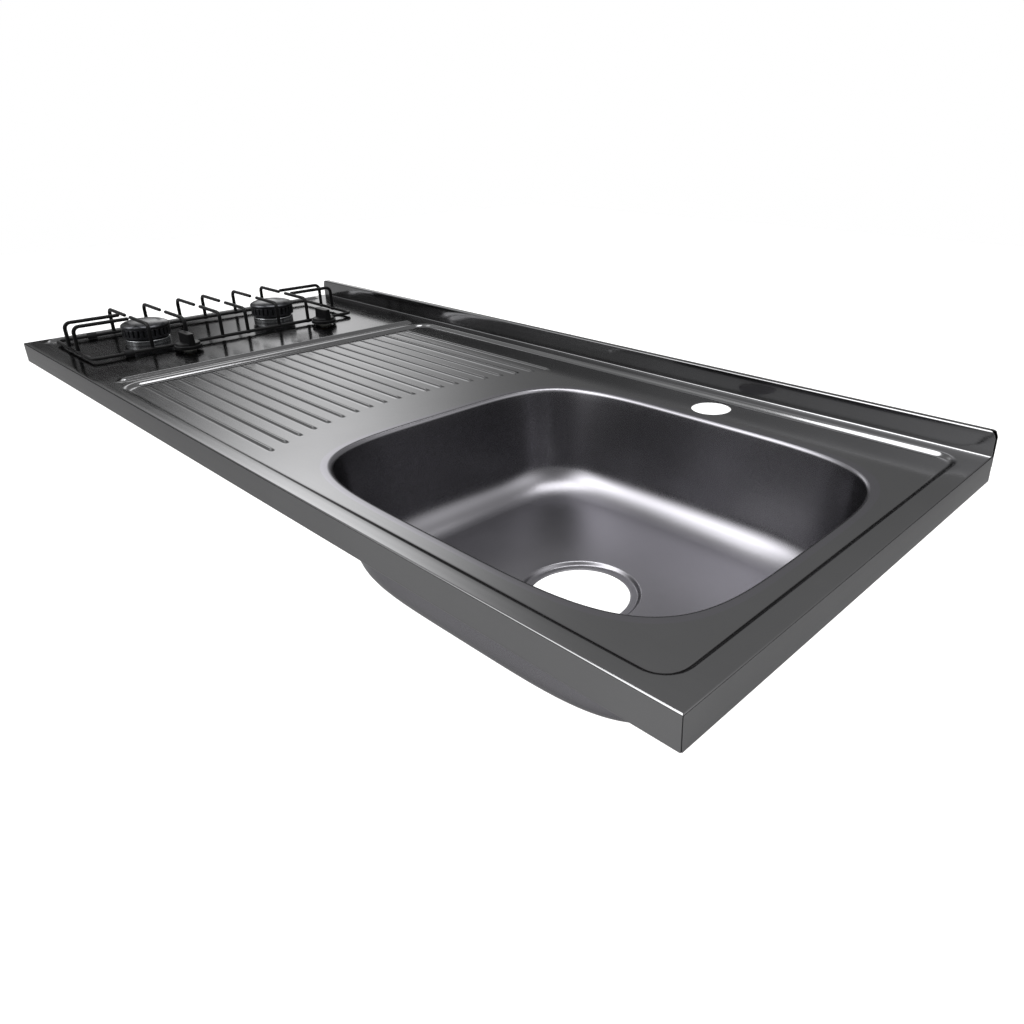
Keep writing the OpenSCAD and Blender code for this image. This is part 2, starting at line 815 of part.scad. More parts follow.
// Half section of the cap: locating ring, rim and low dome
function dome(r, z, h) = [for (t = [0 : 10 : 90]) [r * cos(t), z + h * sin(t)]];
module burner_cap(y) {
    z0 = crown_top + lift_gap;
    edge = 3;
    ring_r = cap_seat_r - lift_gap;
    color("gray") at_burner(y) rotate_extrude() {
        polygon(concat([[0, z0 + 2], [ring_r - 2, z0 + 2], [ring_r - 2, z0 - 2],
            [ring_r, z0 - 2], [ring_r, z0], [cap_r - 0.8, z0], [cap_r, z0 + 0.8]],
            dome(cap_r, z0 + edge, cap_height - edge)));
    }
}

// Puts a tap or knob piece at its place
module at_knob(y) {
    place() translate([knob_from_left, y, 0]) children();
}

// Round bar with one flat, so that knob, spindle and plug turn together
module d_bar(r, flat, z0, z1) {
    translate([0, 0, z0]) linear_extrude(z1 - z0) difference() {
        circle(r);
        translate([flat, -r]) square([r, 2 * r]);
    }
}

module gas_tap(y) {
    color("darkgoldenrod") at_knob(y) difference() {
        union() {
            translate([0, 0, tap_bottom]) cylinder(r = tap_r, h = under_hob - tap_bottom);
            translate([0, 0, under_hob - tap_flange_t]) cylinder(r = tap_flange_r, h = tap_flange_t);
            translate([0, 0, under_hob - eps]) cylinder(r = neck_r, h = neck_top - under_hob + eps);
            x_cylinder([-outlet_reach, 0, outlet_z], outlet_r, outlet_reach);
            box([-block_half, -block_depth, block_z], [block_half, block_depth, tap_bottom + eps]);
        }
        translate([0, 0, plug_z0 - lift_gap]) {
            cylinder(r = plug_r + turn_gap, h = plug_z1 - plug_z0 + 2 * lift_gap);
        }
        translate([0, 0, plug_z1]) cylinder(r = spindle_r + lift_gap, h = neck_top - plug_z1 + cut);
        x_cylinder([-outlet_reach - cut, 0, outlet_z], outlet_bore_r, outlet_reach);
        translate([0, 0, block_z - cut]) cylinder(r = outlet_bore_r, h = plug_z0 - block_z + cut);
        y_cylinder([0, -block_depth - cut, -manifold_z], manifold_r, 2 * block_depth + 2 * cut);
        for (side = [-1, 1]) translate([side * clamp_screw_x, 0, block_z - cut]) {
            cylinder(r = screw_r + bolt_gap, h = 8);
        }
    }
}

module tap_plug(y) {
    color("gold") at_knob(y) difference() {
        translate([0, 0, plug_z0]) cylinder(r = plug_r, h = plug_z1 - plug_z0);
        d_bar(spindle_r + turn_gap, spindle_flat + turn_gap, plug_z1 - socket_depth, plug_z1 + cut);
        x_cylinder([-plug_r - cut, 0, outlet_z], outlet_bore_r - 1, plug_r + cut);
        translate([0, 0, plug_z0 - cut]) cylinder(r = outlet_bore_r - 1, h = outlet_z - plug_z0 + cut);
    }
}

module spindle(y) {
    color("silver") at_knob(y) d_bar(spindle_r, spindle_flat, spindle_z0, spindle_top);
}

module tap_nuts() {
    color("silver") for (y = knob_y) at_knob(y) hex_nut(nut_r, nut_h, neck_r + bolt_gap);
}

module knob(y) {
    color("black") at_knob(y) difference() {
        union() {
            translate([0, 0, knob_z]) cylinder(r = skirt_r, h = skirt_h - 1);
            translate([0, 0, knob_z + skirt_h - 1]) cylinder(r1 = skirt_r, r2 = skirt_r - 1.5, h = 1);
            translate([0, 0, knob_z]) cylinder(r = skirt_hollow_r + 1.5, h = hollow_top - knob_z + 2);
            translate([0, 0, hollow_top]) intersection() {
                cylinder(r = grip_r, h = knob_height - hollow_top);
                translate([-grip_r, -grip_width / 2, 0]) {
                    cube([2 * grip_r, grip_width, knob_height - hollow_top]);
                }
            }
        }
        translate([0, 0, knob_z - cut]) cylinder(r = skirt_hollow_r, h = hollow_top - knob_z + cut);
        d_bar(spindle_r + turn_gap, spindle_flat + turn_gap, hollow_top - cut, spindle_top);
    }
}

// Gas tube from a tap's outlet down and across to its burner's injector
function tube_route(ky, by) = [
    [knob_from_left - outlet_reach, ky, outlet_z],
    [hob_from_left + tube_run_x, ky, outlet_z],
    [hob_from_left + tube_run_x, ky, tube_low_z],
    [hob_from_left, by, tube_low_z],
    [hob_from_left, by, jet_end]];

// Points of a route whose inner corners are rounded by arcs of bend_r
tube_steps = 6;
function arc_points(p, u, v, bend_r) =
    let (angle = turn_angle(u, v), n = unit(v - (u * v) * u),
        c = p - u * bend_r * tan(angle / 2) + n * bend_r)
    [for (k = [0 : tube_steps]) c + bend_r * (u * sin(angle * k / tube_steps)
        - n * cos(angle * k / tube_steps))];
function rounded_route(points, bend_r) = concat([points[0]],
    [for (i = [1 : len(points) - 2], q = arc_points(points[i], unit(points[i] - points[i - 1]),
        unit(points[i + 1] - points[i]), bend_r)) q],
    [points[len(points) - 1]]);

// Tube swept along a path; the rings turn about one fixed direction, so none twists
tube_sides = 12;
sweep_up = unit([1, 2, 3]);
function tangent(path, i) = unit(i == 0 ? path[1] - path[0]
    : i == len(path) - 1 ? path[i] - path[i - 1]
    : unit(path[i + 1] - path[i]) + unit(path[i] - path[i - 1]));
module swept_tube(path, r) {
    n = tube_sides;
    last = len(path) - 1;
    points = [for (i = [0 : last])
        let (t = tangent(path, i), a = unit(cross(t, sweep_up)), b = cross(t, a))
        for (k = [0 : n - 1]) path[i] + r * (a * cos(360 * k / n) + b * sin(360 * k / n))];
    faces = concat(
        [for (i = [0 : last - 1], k = [0 : n - 1]) let (j = (k + 1) % n)
            [i * n + k, (i + 1) * n + j, i * n + j]],
        [for (i = [0 : last - 1], k = [0 : n - 1]) let (j = (k + 1) % n)
            [i * n + k, (i + 1) * n + k, (i + 1) * n + j]],
        [[for (k = [0 : n - 1]) k]], [[for (k = [n - 1 : -1 : 0]) last * n + k]]);
    polyhedron(points, faces, convexity = 8);
}

module gas_tube(ky, by) {
    color("lightgray") place() {
        swept_tube(rounded_route(tube_route(ky, by), tube_bend_r), gas_tube_r);
    }
}

module tube_nuts() {
    color("goldenrod") for (y = knob_y) {
        at_knob(y) translate([-outlet_reach - tube_nut_l, 0, outlet_z]) rotate([0, 90, 0]) {
            hex_nut(tube_nut_r, tube_nut_l, gas_tube_r + bolt_gap);
        }
    }
}

function manifold_route() = [
    [knob_from_left, manifold_y0, -manifold_z],
    [knob_from_left, manifold_y1, -manifold_z],
    [knob_from_left, manifold_y1, manifold_end_z]];

module gas_manifold() {
    inner = manifold_route();
    color("silver") place() difference() {
        bent_wire(manifold_route(), manifold_r, manifold_bend_r);
        bent_wire([inner[0] + [0, 3, 0], inner[1], inner[2] - [0, 0, cut]],
            manifold_r - manifold_wall, manifold_bend_r);
        for (y = knob_y) translate([knob_from_left, y, -manifold_z]) {
            cylinder(r = outlet_bore_r, h = manifold_r + cut);
        }
    }
}

module manifold_clamps() {
    color("gainsboro") for (y = knob_y) at_knob(y) difference() {
        union() {
            y_cylinder([0, -block_depth, -manifold_z], manifold_r + clamp_t, 2 * block_depth);
            box([-block_half, -block_depth, block_z - clamp_t], [block_half, block_depth, block_z]);
        }
        y_cylinder([0, -block_depth - cut, -manifold_z], manifold_r, 2 * block_depth + 2 * cut);
        box([-manifold_r - 2 * clamp_t, -block_depth - cut, block_z],
            [manifold_r + 2 * clamp_t, block_depth + cut, 0]);
        for (side = [-1, 1]) translate([side * clamp_screw_x, 0, block_z - 2 * cut - clamp_t]) {
            cylinder(r = screw_r + bolt_gap, h = 8);
        }
    }
}

module clamp_screws() {
    color("silver") for (y = knob_y, side = [-1, 1]) at_knob(y) {
        translate([side * clamp_screw_x, 0, block_z - clamp_t]) {
            translate([0, 0, -screw_head_h]) cylinder(r = screw_head_r, h = screw_head_h);
            cylinder(r = screw_r, h = 7);
        }
    }
}

module pipe_grommet() {
    color("black") place() difference() {
        union() {
            y_cylinder([knob_from_left, tray_y1 - tray_t, -manifold_z],
                manifold_r + grommet_t - bolt_gap, tray_t);
            for (y = [tray_y1 - tray_t - 2, tray_y1]) {
                y_cylinder([knob_from_left, y, -manifold_z], manifold_r + 2 * grommet_t, 2);
            }
        }
        y_cylinder([knob_from_left, tray_y1 - 10, -manifold_z], manifold_r, 20);
    }
}

module gas_inlet_fitting() {
    color("goldenrod") place() translate([knob_from_left, manifold_y1, 0]) difference() {
        union() {
            translate([0, 0, manifold_end_z - inlet_hex_h + socket_overlap]) {
                cylinder(r = inlet_hex_r, h = inlet_hex_h, $fn = 6);
            }
            translate([0, 0, manifold_end_z - inlet_hex_h + socket_overlap - inlet_length]) {
                cylinder(r = inlet_r, h = inlet_length + eps);
            }
        }
        translate([0, 0, manifold_end_z]) cylinder(r = manifold_r, h = 2 * socket_overlap);
        translate([0, 0, manifold_end_z - inlet_hex_h - inlet_length]) {
            cylinder(r = manifold_r - manifold_wall, h = 2 * inlet_length + inlet_hex_h);
        }
    }
}

module pan_support() {
    x0 = rack_x[0];
    x1 = rack_x[1];
    y0 = rack_y[0];
    y1 = rack_y[1];
    half_gap = finger_gap / 2;
    color("black") place() {
        for (side = [0, 1]) {
            x = rack_x[side];
            bent_wire([[hob_from_left, y0, base_height], [x, y0, base_height],
                [x, y1, base_height], [hob_from_left, y1, base_height]], wire_r, wire_bend_r);
            tip = hob_from_left + (side == 0 ? -half_gap : half_gap);
            for (y = finger_y) bent_wire([[x, hob_from_front + y, base_height],
                [x, hob_from_front + y, rack_height], [tip, hob_from_front + y, rack_height]],
                wire_r, wire_bend_r);
        }
        for (side = [-1, 1]) {
            x = hob_from_left + side * end_wire_spacing / 2;
            bent_wire([[x, y0, base_height], [x, y0, rack_height],
                [x, y0 + end_wire_length, rack_height]], wire_r, wire_bend_r);
            bent_wire([[x, y1, base_height], [x, y1, rack_height],
                [x, y1 - end_wire_length, rack_height]], wire_r, wire_bend_r);
        }
    }
}

module pan_support_feet() {
    color("dimgray") place() for (x = rack_x, y = foot_y) difference() {
        y_cylinder([x, hob_from_front + y - foot_length / 2, base_height], foot_r, foot_length);
        y_cylinder([x, hob_from_front + y - foot_length, base_height], wire_r, 2 * foot_length);
    }
}

worktop_sheet();
sink_bowl();
cross_channel(channel_x[0]);  // drainer_channel
cross_channel(channel_x[1]);  // bowl_channel
damping_pad();
fixing_brackets();
burner_tray();
tray_studs();
tray_nuts();
burner_cup(front_burner_y);  // front_burner_cup
burner_cup(rear_burner_y);  // rear_burner_cup
mixing_tube(front_burner_y);  // front_mixing_tube
mixing_tube(rear_burner_y);  // rear_mixing_tube
injector(front_burner_y);  // front_injector
injector(rear_burner_y);  // rear_injector
burner_screws();
burner_crown(front_burner_y);  // front_burner_crown
burner_crown(rear_burner_y);  // rear_burner_crown
burner_cap(front_burner_y);  // front_burner_cap
burner_cap(rear_burner_y);  // rear_burner_cap
gas_tap(front_knob_y);  // front_gas_tap
gas_tap(rear_knob_y);  // rear_gas_tap
tap_plug(front_knob_y);  // front_tap_plug
tap_plug(rear_knob_y);  // rear_tap_plug
spindle(front_knob_y);  // front_spindle
spindle(rear_knob_y);  // rear_spindle
knob(front_knob_y);  // front_knob
knob(rear_knob_y);  // rear_knob
tap_nuts();
gas_tube(front_knob_y, front_burner_y);  // front_gas_tube
gas_tube(rear_knob_y, rear_burner_y);  // rear_gas_tube
tube_nuts();
gas_manifold();
manifold_clamps();
clamp_screws();
pipe_grommet();
gas_inlet_fitting();
pan_support();
pan_support_feet();
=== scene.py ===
"""A pressed stainless kitchenette worktop: sink bowl, ribbed drainer and a two-burner gas hob."""
import math

import bpy
import numpy as np
from mathutils import Matrix, Vector


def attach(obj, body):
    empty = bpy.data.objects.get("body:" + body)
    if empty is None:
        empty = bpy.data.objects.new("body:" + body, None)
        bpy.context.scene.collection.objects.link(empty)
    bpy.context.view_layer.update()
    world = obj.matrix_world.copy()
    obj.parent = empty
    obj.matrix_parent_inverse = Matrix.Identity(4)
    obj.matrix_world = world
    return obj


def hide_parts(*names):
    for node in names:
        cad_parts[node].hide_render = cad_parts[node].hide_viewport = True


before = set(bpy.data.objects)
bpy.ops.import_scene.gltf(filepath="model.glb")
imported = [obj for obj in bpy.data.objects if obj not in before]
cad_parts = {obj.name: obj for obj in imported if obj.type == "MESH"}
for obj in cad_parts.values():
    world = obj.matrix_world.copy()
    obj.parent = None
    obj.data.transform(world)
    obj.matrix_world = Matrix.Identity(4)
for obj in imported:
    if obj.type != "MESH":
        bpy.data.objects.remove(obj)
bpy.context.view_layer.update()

# The camera stands in front of the right-hand end, a little above the worktop,
# where the photograph was taken from, with the same lens.
CAMERA_AT = (0.7968, -0.2928, 0.3218)
CAMERA_RIGHT = (0.73808, 0.67471, -0.00206)
CAMERA_DOWN = (0.27025, -0.29843, -0.91537)
CAMERA_FORWARD = (-0.61823, 0.67506, -0.40261)
FOCAL_LENGTH_IN_FRAMES = 800.5 / 1024
SENSOR_MM = 36.0
LENS_SHIFT = (-0.0793, -0.0359)
CLIP_NEAR, CLIP_FAR = 0.02, 60
lens = bpy.data.cameras.new("photo_camera")
lens.sensor_width = SENSOR_MM
lens.lens = FOCAL_LENGTH_IN_FRAMES * SENSOR_MM
lens.shift_x, lens.shift_y = LENS_SHIFT
lens.clip_start, lens.clip_end = CLIP_NEAR, CLIP_FAR
camera = bpy.data.objects.new("photo_camera", lens)
placing = np.eye(4)
placing[:3, 0] = CAMERA_RIGHT
placing[:3, 1] = -np.array(CAMERA_DOWN)
placing[:3, 2] = -np.array(CAMERA_FORWARD)
placing[:3, 3] = CAMERA_AT
camera.matrix_world = Matrix(placing.tolist())
bpy.context.scene.collection.objects.link(camera)
bpy.context.scene.camera = camera

# Pressed worktop: one stainless sheet, drawn in a press into the raised border, the sunk
# work area, the drainer's ribs and the two beads beside the hob, then folded along its
# edges into aprons with turned-in lips and, at the back, into a hollow upstand.
LENGTH, WIDTH, SHEET_T = 1200.0, 500.0, 1.0
FOLD_R, APRON_Z, REAR_APRON_Z, LIP, CORNER_SLIT = 1.6, -28.0, -12.0, 12.0, 0.6
LAND_BACK, UPSTAND_TOP, UPSTAND_CORNER_R, FOOT_R = 492.0, 26.0, 6.5, 1.6
RECESS_X, RECESS_Y = (330.0, 1181.0), (14.0, 477.0)
RECESS_Z, FLANK_W, FLANK_BEND, RECESS_R = -4.0, 8.0, 3.0, 26.0
RIB_COUNT, RIB_PITCH, RIB_H, RIB_REACH = 20, 20.3, 1.8, 3.3
RIB_X0, RIB_MID_Y, RIB_ARC_X, RIB_ARC_R = 348.0, 236.0, 1042.0, 428.0
BEAD_X, BEAD_Y, BEAD_H, BEAD_REACH = (24.0, 312.0), (29.5, 455.0), 4.0, 8.6
BURNER_X, BURNER_Y, BURNER_HOLE_R = 124.0, (129.0, 325.0), 24.9
KNOB_X, KNOB_Y, KNOB_HOLE_R = 221.5, (147.0, 360.0), 7.4
BOWL_X, BOWL_Y, BOWL_HALF_L, BOWL_HALF_W, BOWL_SQUARENESS = 926.0, 224.0, 228.0, 183.0, 4.5
BOWL_FLANGE = 8.0
TAP_X, TAP_Y, TAP_R = 911.0, 443.0, 22.5


def in_frame(points):
    """Millimetres from the sheet's front left corner, z 0 on its land, to the part's metres."""
    return (points - np.array([LENGTH / 2, LIP / 2, APRON_Z])) / 1000


def hex_colour(code):
    """An sRGB hex colour as linear light: c / 12.92 below 0.04045, else ((c + 0.055) / 1.055) ^ 2.4."""
    srgb = np.array([int(code[i : i + 2], 16) for i in (1, 3, 5)]) / 255
    linear = np.where(srgb < 0.04045, srgb / 12.92, ((srgb + 0.055) / 1.055) ** 2.4)
    return (*linear.tolist(), 1.0)


def add_node(tree, kind, values=None, links=None, **settings):
    """Adds one shader node with its settings, its input values and the outputs that feed it."""
    made = tree.nodes.new(kind)
    for name, value in settings.items():
        setattr(made, name, value)
    for name, value in (values or {}).items():
        made.inputs[name].default_value = value
    for name, source in (links or {}).items():
        tree.links.new(source, made.inputs[name])
    return made


def new_material(name, **shader_values):
    """A material with one principled shader; gives the material, its tree and its shader."""
    made = bpy.data.materials.new(name)
    made.use_nodes = True
    tree = made.node_tree
    tree.nodes.clear()
    values = {key.replace("_", " "): value for key, value in shader_values.items()}
    shader = add_node(tree, "ShaderNodeBsdfPrincipled", values)
    add_node(tree, "ShaderNodeOutputMaterial", links={"Surface": shader.outputs["BSDF"]})
    return made, tree, shader


def noise(tree, place, scale, detail, roughness):
    """A noise over the place, with that many cells per unit of it."""
    made = add_node(tree, "ShaderNodeTexNoise", {"Scale": scale, "Detail": detail, "Roughness": roughness},
        {"Vector": place})
    return made.outputs["Fac"]


def remapped(tree, source, low, high, to_low, to_high):
    """A value brought from low..high to to_low..to_high, and held at both ends."""
    made = add_node(tree, "ShaderNodeMapRange", {"From Min": low, "From Max": high, "To Min": to_low,
        "To Max": to_high}, {"Value": source})
    return made.outputs["Result"]


def combined(tree, operation, first, second):
    """One arithmetic operation on two outputs."""
    made = add_node(tree, "ShaderNodeMath", links={0: first, 1: second}, operation=operation)
    return made.outputs["Value"]


def grid_faces(rows, columns):
    """The quads of a grid: corner k, k + 1 and the two above them, for every cell."""
    first = (np.arange(rows - 1)[:, None] * columns + np.arange(columns - 1)).ravel()
    return np.stack([first, first + 1, first + columns + 1, first + columns], 1)


def turned_over(part):
    """The same (points, faces) with each face wound the other way."""
    points, faces = part
    return points, faces[:, ::-1]


def joined(parts):
    """Puts several (points, faces) together, counting each one's faces on from the last."""
    points, faces, count = [], [], 0
    for some_points, some_faces in parts:
        points.append(some_points.reshape(-1, 3))
        faces.append(some_faces + count)
        count += len(points[-1])
    return np.concatenate(points), np.concatenate(faces)


def merged(points, faces):
    """Merges points closer than 0.1 micrometre and drops those no face uses; a quad with two
    equal corners is a triangle."""
    points, where = np.unique(np.round(points, 4) + 0.0, axis=0, return_inverse=True)
    faces = where.reshape(-1)[faces]
    twice = faces == np.roll(faces, -1, axis=1)
    faces, twice = faces[twice.sum(1) < 2], twice[twice.sum(1) < 2]
    used, where = np.unique(faces, return_inverse=True)
    faces = where.reshape(faces.shape)
    flat = twice.any(1)
    return points[used], faces[~flat], faces[flat][~twice[flat]].reshape(-1, 3)


def as_rows(quads, triangles):
    """Both kinds of face as rows of four, a triangle's last corner given twice."""
    return np.concatenate([quads, triangles[:, [0, 1, 2, 2]]])


def with_thickness(points, faces, thickness):
    """A second skin at p - thickness * n, n being the mean of the faces' normals round p,
    and a strip round every open edge."""
    points, quads, triangles = merged(points, faces)
    faces = as_rows(quads, triangles)
    corner = points[faces]
    face_normal = np.cross(corner[:, 2] - corner[:, 0], corner[:, 3] - corner[:, 1])
    normal = np.zeros_like(points)
    for k in range(4):
        np.add.at(normal, faces[:, k], face_normal)
    normal /= np.linalg.norm(normal, axis=1)[:, None]
    count = len(points)
    start, end = faces.ravel(), np.roll(faces, -1, axis=1).ravel()
    real = start != end
    start, end = start[real], end[real]
    is_open = ~np.isin(start * count + end, end * count + start)
    start, end = start[is_open], end[is_open]
    rim = np.stack([end, start, start + count, end + count], 1)
    under = faces[:, ::-1] + count
    return np.concatenate([points, points - thickness * normal]), np.concatenate([faces, under, rim])


SHARP_DEGREES = 38.0


def make_piece(name, body, parts, material, stands_for):
    """One closed mesh piece from (points, faces) in mm on the sheet, smooth but for edges
    sharper than SHARP_DEGREES, turned outwards by the sign of its volume."""
    points, quads, triangles = merged(*joined(parts))
    rows = as_rows(quads, triangles)
    corner = points[rows] - points.mean(0)
    volume = np.einsum("ij,ij->", np.cross(corner[:, 0], corner[:, 1]), corner[:, 2])
    volume += np.einsum("ij,ij->", np.cross(corner[:, 0], corner[:, 2]), corner[:, 3])
    if volume < 0:
        quads, triangles = quads[:, ::-1], triangles[:, ::-1]
    mesh = bpy.data.meshes.new(name)
    mesh.vertices.add(len(points))
    mesh.vertices.foreach_set("co", in_frame(points).astype(np.float32).ravel())
    mesh.loops.add(quads.size + triangles.size)
    mesh.loops.foreach_set("vertex_index", np.concatenate([quads.ravel(), triangles.ravel()]))
    sizes = np.concatenate([np.full(len(quads), 4), np.full(len(triangles), 3)])
    mesh.polygons.add(len(sizes))
    mesh.polygons.foreach_set("loop_start", np.concatenate([[0], np.cumsum(sizes)[:-1]]))
    mesh.polygons.foreach_set("use_smooth", np.ones(len(sizes), bool))
    mesh.update(calc_edges=True)
    mesh.validate()
    mesh.set_sharp_from_angle(angle=math.radians(SHARP_DEGREES))
    mesh.materials.append(material)
    piece = bpy.data.objects.new(name, mesh)
    bpy.context.scene.collection.objects.link(piece)
    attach(piece, body)
    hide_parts(*stands_for)


def lines(start, *stretches):
    """Grid lines from start on: each stretch is (its end, about the spacing), cut equally."""
    cuts = []
    for end, spacing in stretches:
        cuts.append(np.linspace(start, end, max(1, round((end - start) / spacing)) + 1))
        start = end
    return np.unique(np.round(np.concatenate(cuts), 3))


def eased(t, bend):
    """0 before 0, then t^2 / (2 bend) over the bend, then the straight line t - bend / 2."""
    return np.where(t < 0, 0, np.where(t < bend, t * t / (2 * bend), t - bend / 2))


def ramp(t, width, bend):
    """Rises from 0 to 1 over width, with both its bends eased."""
    return (eased(t, bend) - eased(t - (width - bend), bend)) / (width - bend)


def hump(distance, reach):
    """Section of a pressed bead: cos^2 of a quarter turn over its reach."""
    return np.cos(np.pi / 2 * np.clip(distance / reach, 0, 1)) ** 2


def circle(radius):
    """A round hole's distance from its middle in each direction."""
    return lambda angle: np.full_like(angle, radius)


def bowl_outline(off):
    """The bowl's distance from its middle in each direction, the outline being grown by off:
    |x / l|^n + |y / w|^n = 1."""
    def distance(angle):
        powers = np.abs(np.cos(angle) / (BOWL_HALF_L + off)) ** BOWL_SQUARENESS
        powers = powers + np.abs(np.sin(angle) / (BOWL_HALF_W + off)) ** BOWL_SQUARENESS
        return powers ** (-1 / BOWL_SQUARENESS)
    return distance


def sheet_height(x, y):
    """Height of the pressed top: minus the recess's ramp over the distance inside its rounded
    rectangle, plus a hump round each rib's line and round each bead's line."""
    half = np.array([RECESS_X[1] - RECESS_X[0], RECESS_Y[1] - RECESS_Y[0]]) / 2
    from_x = np.abs(x - sum(RECESS_X) / 2) - (half[0] - RECESS_R)
    from_y = np.abs(y - sum(RECESS_Y) / 2) - (half[1] - RECESS_R)
    outside = np.hypot(np.maximum(from_x, 0), np.maximum(from_y, 0))
    inside = RECESS_R - outside - np.minimum(np.maximum(from_x, from_y), 0)
    z = RECESS_Z * ramp(inside, FLANK_W, FLANK_BEND)
    nearest = np.clip(np.round((y - RIB_MID_Y) / RIB_PITCH + (RIB_COUNT - 1) / 2), 0, RIB_COUNT - 1)
    rib_y = RIB_MID_Y + (nearest - (RIB_COUNT - 1) / 2) * RIB_PITCH
    rib_x1 = RIB_ARC_X - np.sqrt(RIB_ARC_R**2 - (rib_y - RIB_MID_Y) ** 2)
    past_end = np.maximum(np.maximum(RIB_X0 - x, x - rib_x1), 0)
    z = z + RIB_H * hump(np.hypot(past_end, y - rib_y), RIB_REACH)
    past_bead = np.maximum(np.maximum(BEAD_Y[0] - y, y - BEAD_Y[1]), 0)
    for bead in BEAD_X:
        z = z + BEAD_H * hump(np.hypot(x - bead, past_bead), BEAD_REACH)
    return z


def on_sheet(x, y):
    """Points of the pressed top above x and y."""
    return np.stack([x, y, sheet_height(x, y)], -1)


def top_block(xs, ys, windows):
    """A block of the top as a grid over its lines, less the cells inside the windows."""
    x, y = np.meshgrid(xs, ys)
    faces = grid_faces(len(ys), len(xs))
    points = on_sheet(x, y).reshape(-1, 3)
    mid_x, mid_y = points[faces].mean(1)[:, :2].T
    keep = np.ones(len(faces), bool)
    for x0, x1, y0, y1 in windows:
        keep &= ~((mid_x > x0) & (mid_x < x1) & (mid_y > y0) & (mid_y < y1))
    return points, faces[keep]


def stitch(coarse_x, coarse, dense_x, dense):
    """Triangles between a line of few points and a line of many that holds them all: each
    short edge goes to the nearer of the two coarse points, and one triangle fills each turn."""
    middle = (dense[1:] + dense[:-1]) / 2
    gap = np.searchsorted(coarse, middle, side="right") - 1
    node = gap + (middle > (coarse[gap] + coarse[gap + 1]) / 2 + 1e-6)
    k = np.arange(len(dense) - 1) + len(coarse)
    j = np.arange(len(coarse) - 1)
    turn = np.searchsorted(node, j, side="right") + len(coarse)
    triangles = np.concatenate([np.stack([node, k, k + 1], 1), np.stack([j, turn, j + 1], 1)])
    if coarse_x > dense_x:
        triangles = triangles[:, ::-1]
    x = np.concatenate([np.full(len(coarse), coarse_x), np.full(len(dense), dense_x)])
    return on_sheet(x, np.concatenate([coarse, dense])), triangles[:, [0, 1, 2, 2]]


def square_window(x, y, half):
    """The cells left out round a hole, as (x0, x1, y0, y1)."""
    return x - half, x + half, y - half, y + half


def holed_window(window, xs, ys, centre, outline, rows):
    """Fills a window round a hole: point = (1 - m) * window's edge + m * hole's edge, on rays
    from the hole's middle, so that its outer points are the grid's own. Gives the rays too."""
    x0, x1, y0, y1 = window
    along_x = xs[(xs >= x0 - 1e-6) & (xs <= x1 + 1e-6)]
    along_y = ys[(ys >= y0 - 1e-6) & (ys <= y1 + 1e-6)]
    steps_x, steps_y = len(along_x) - 1, len(along_y) - 1
    x = np.concatenate([along_x, np.full(steps_y, x1), along_x[::-1][1:], np.full(steps_y, x0)])
    y = np.concatenate([np.full(steps_x + 1, y0), along_y[1:], np.full(steps_x, y1), along_y[::-1][1:]])
    angle = np.arctan2(y - centre[1], x - centre[0])
    reach = outline(angle)
    m = np.linspace(0, 1, rows)[:, None] ** 0.8
    grid_x = (1 - m) * x + m * (centre[0] + reach * np.cos(angle))
    grid_y = (1 - m) * y + m * (centre[1] + reach * np.sin(angle))
    return (on_sheet(grid_x, grid_y).reshape(-1, 3), grid_faces(rows, len(x))), angle


# The top is a grid in three blocks, hob, drainer and bowl, with its lines close together
# where it bends and far apart where it is flat. Stitched strips join the blocks.
HOB_END, DRAINER_END = (324.0, 330.0), (672.0, 680.0)
BURNER_WINDOW, KNOB_WINDOW, TAP_WINDOW = 34.0, 12.0, 25.0
HOLE_ROWS, BOWL_RING_ROWS = 7, 6
hob_holes = [(BURNER_X, y, BURNER_WINDOW, BURNER_HOLE_R) for y in BURNER_Y]
hob_holes += [(KNOB_X, y, KNOB_WINDOW, KNOB_HOLE_R) for y in KNOB_Y]
bowl_window, tap_window = (682.0, 1166.0, 29.0, 417.0), square_window(TAP_X, TAP_Y, TAP_WINDOW)
xs_hob = lines(FOLD_R, (15.4, 6), (32.6, 1.56), (90, 8), (158, 4.25), (209.5, 8), (233.5, 3), (303.4, 8),
    (320.6, 1.56), (HOB_END[0], 4))
xs_drainer = lines(HOB_END[1], (338.8, 1.1), (344, 2.6), (349.6, 0.8), (606, 30), (667, 1.9),
    (DRAINER_END[0], 3))
xs_bowl = lines(DRAINER_END[1], (682, 2), (770, 4.4), (886, 8), (936, 3.6), (1080, 8), (1150, 4.4),
    (1166, 3.2), (1172.2, 2.1), (1181, 1.1), (LENGTH - FOLD_R, 5))
ys_hob = lines(FOLD_R, (20.9, 5), (32.4, 1.45), (95, 8), (135, 4.3), (159, 3), (163, 4), (291, 16),
    (348, 4.4), (359, 2.8), (372, 3.2), (452, 8), (464, 1.5), (LAND_BACK - FOOT_R, 5))
ys_bowl = lines(FOLD_R, (14, 4), (22.8, 1.1), (29, 2.1), (90, 4.4), (360, 10), (417, 4.4), (418, 1),
    (464, 3.6), (468.2, 2.1), (477, 1.1), (LAND_BACK - FOOT_R, 4))
rib_mid_lines = RIB_MID_Y + (np.arange(RIB_COUNT) - (RIB_COUNT - 1) / 2) * RIB_PITCH
rib_lines = rib_mid_lines[:, None] + RIB_REACH * np.array([-1, -0.7, -0.45, -0.2, 0.2, 0.45, 0.7, 1])
ys_drainer = np.unique(np.round(np.concatenate([rib_lines.ravel(), ys_hob, ys_bowl]), 3))
all_x = np.concatenate([xs_hob, xs_drainer, xs_bowl])
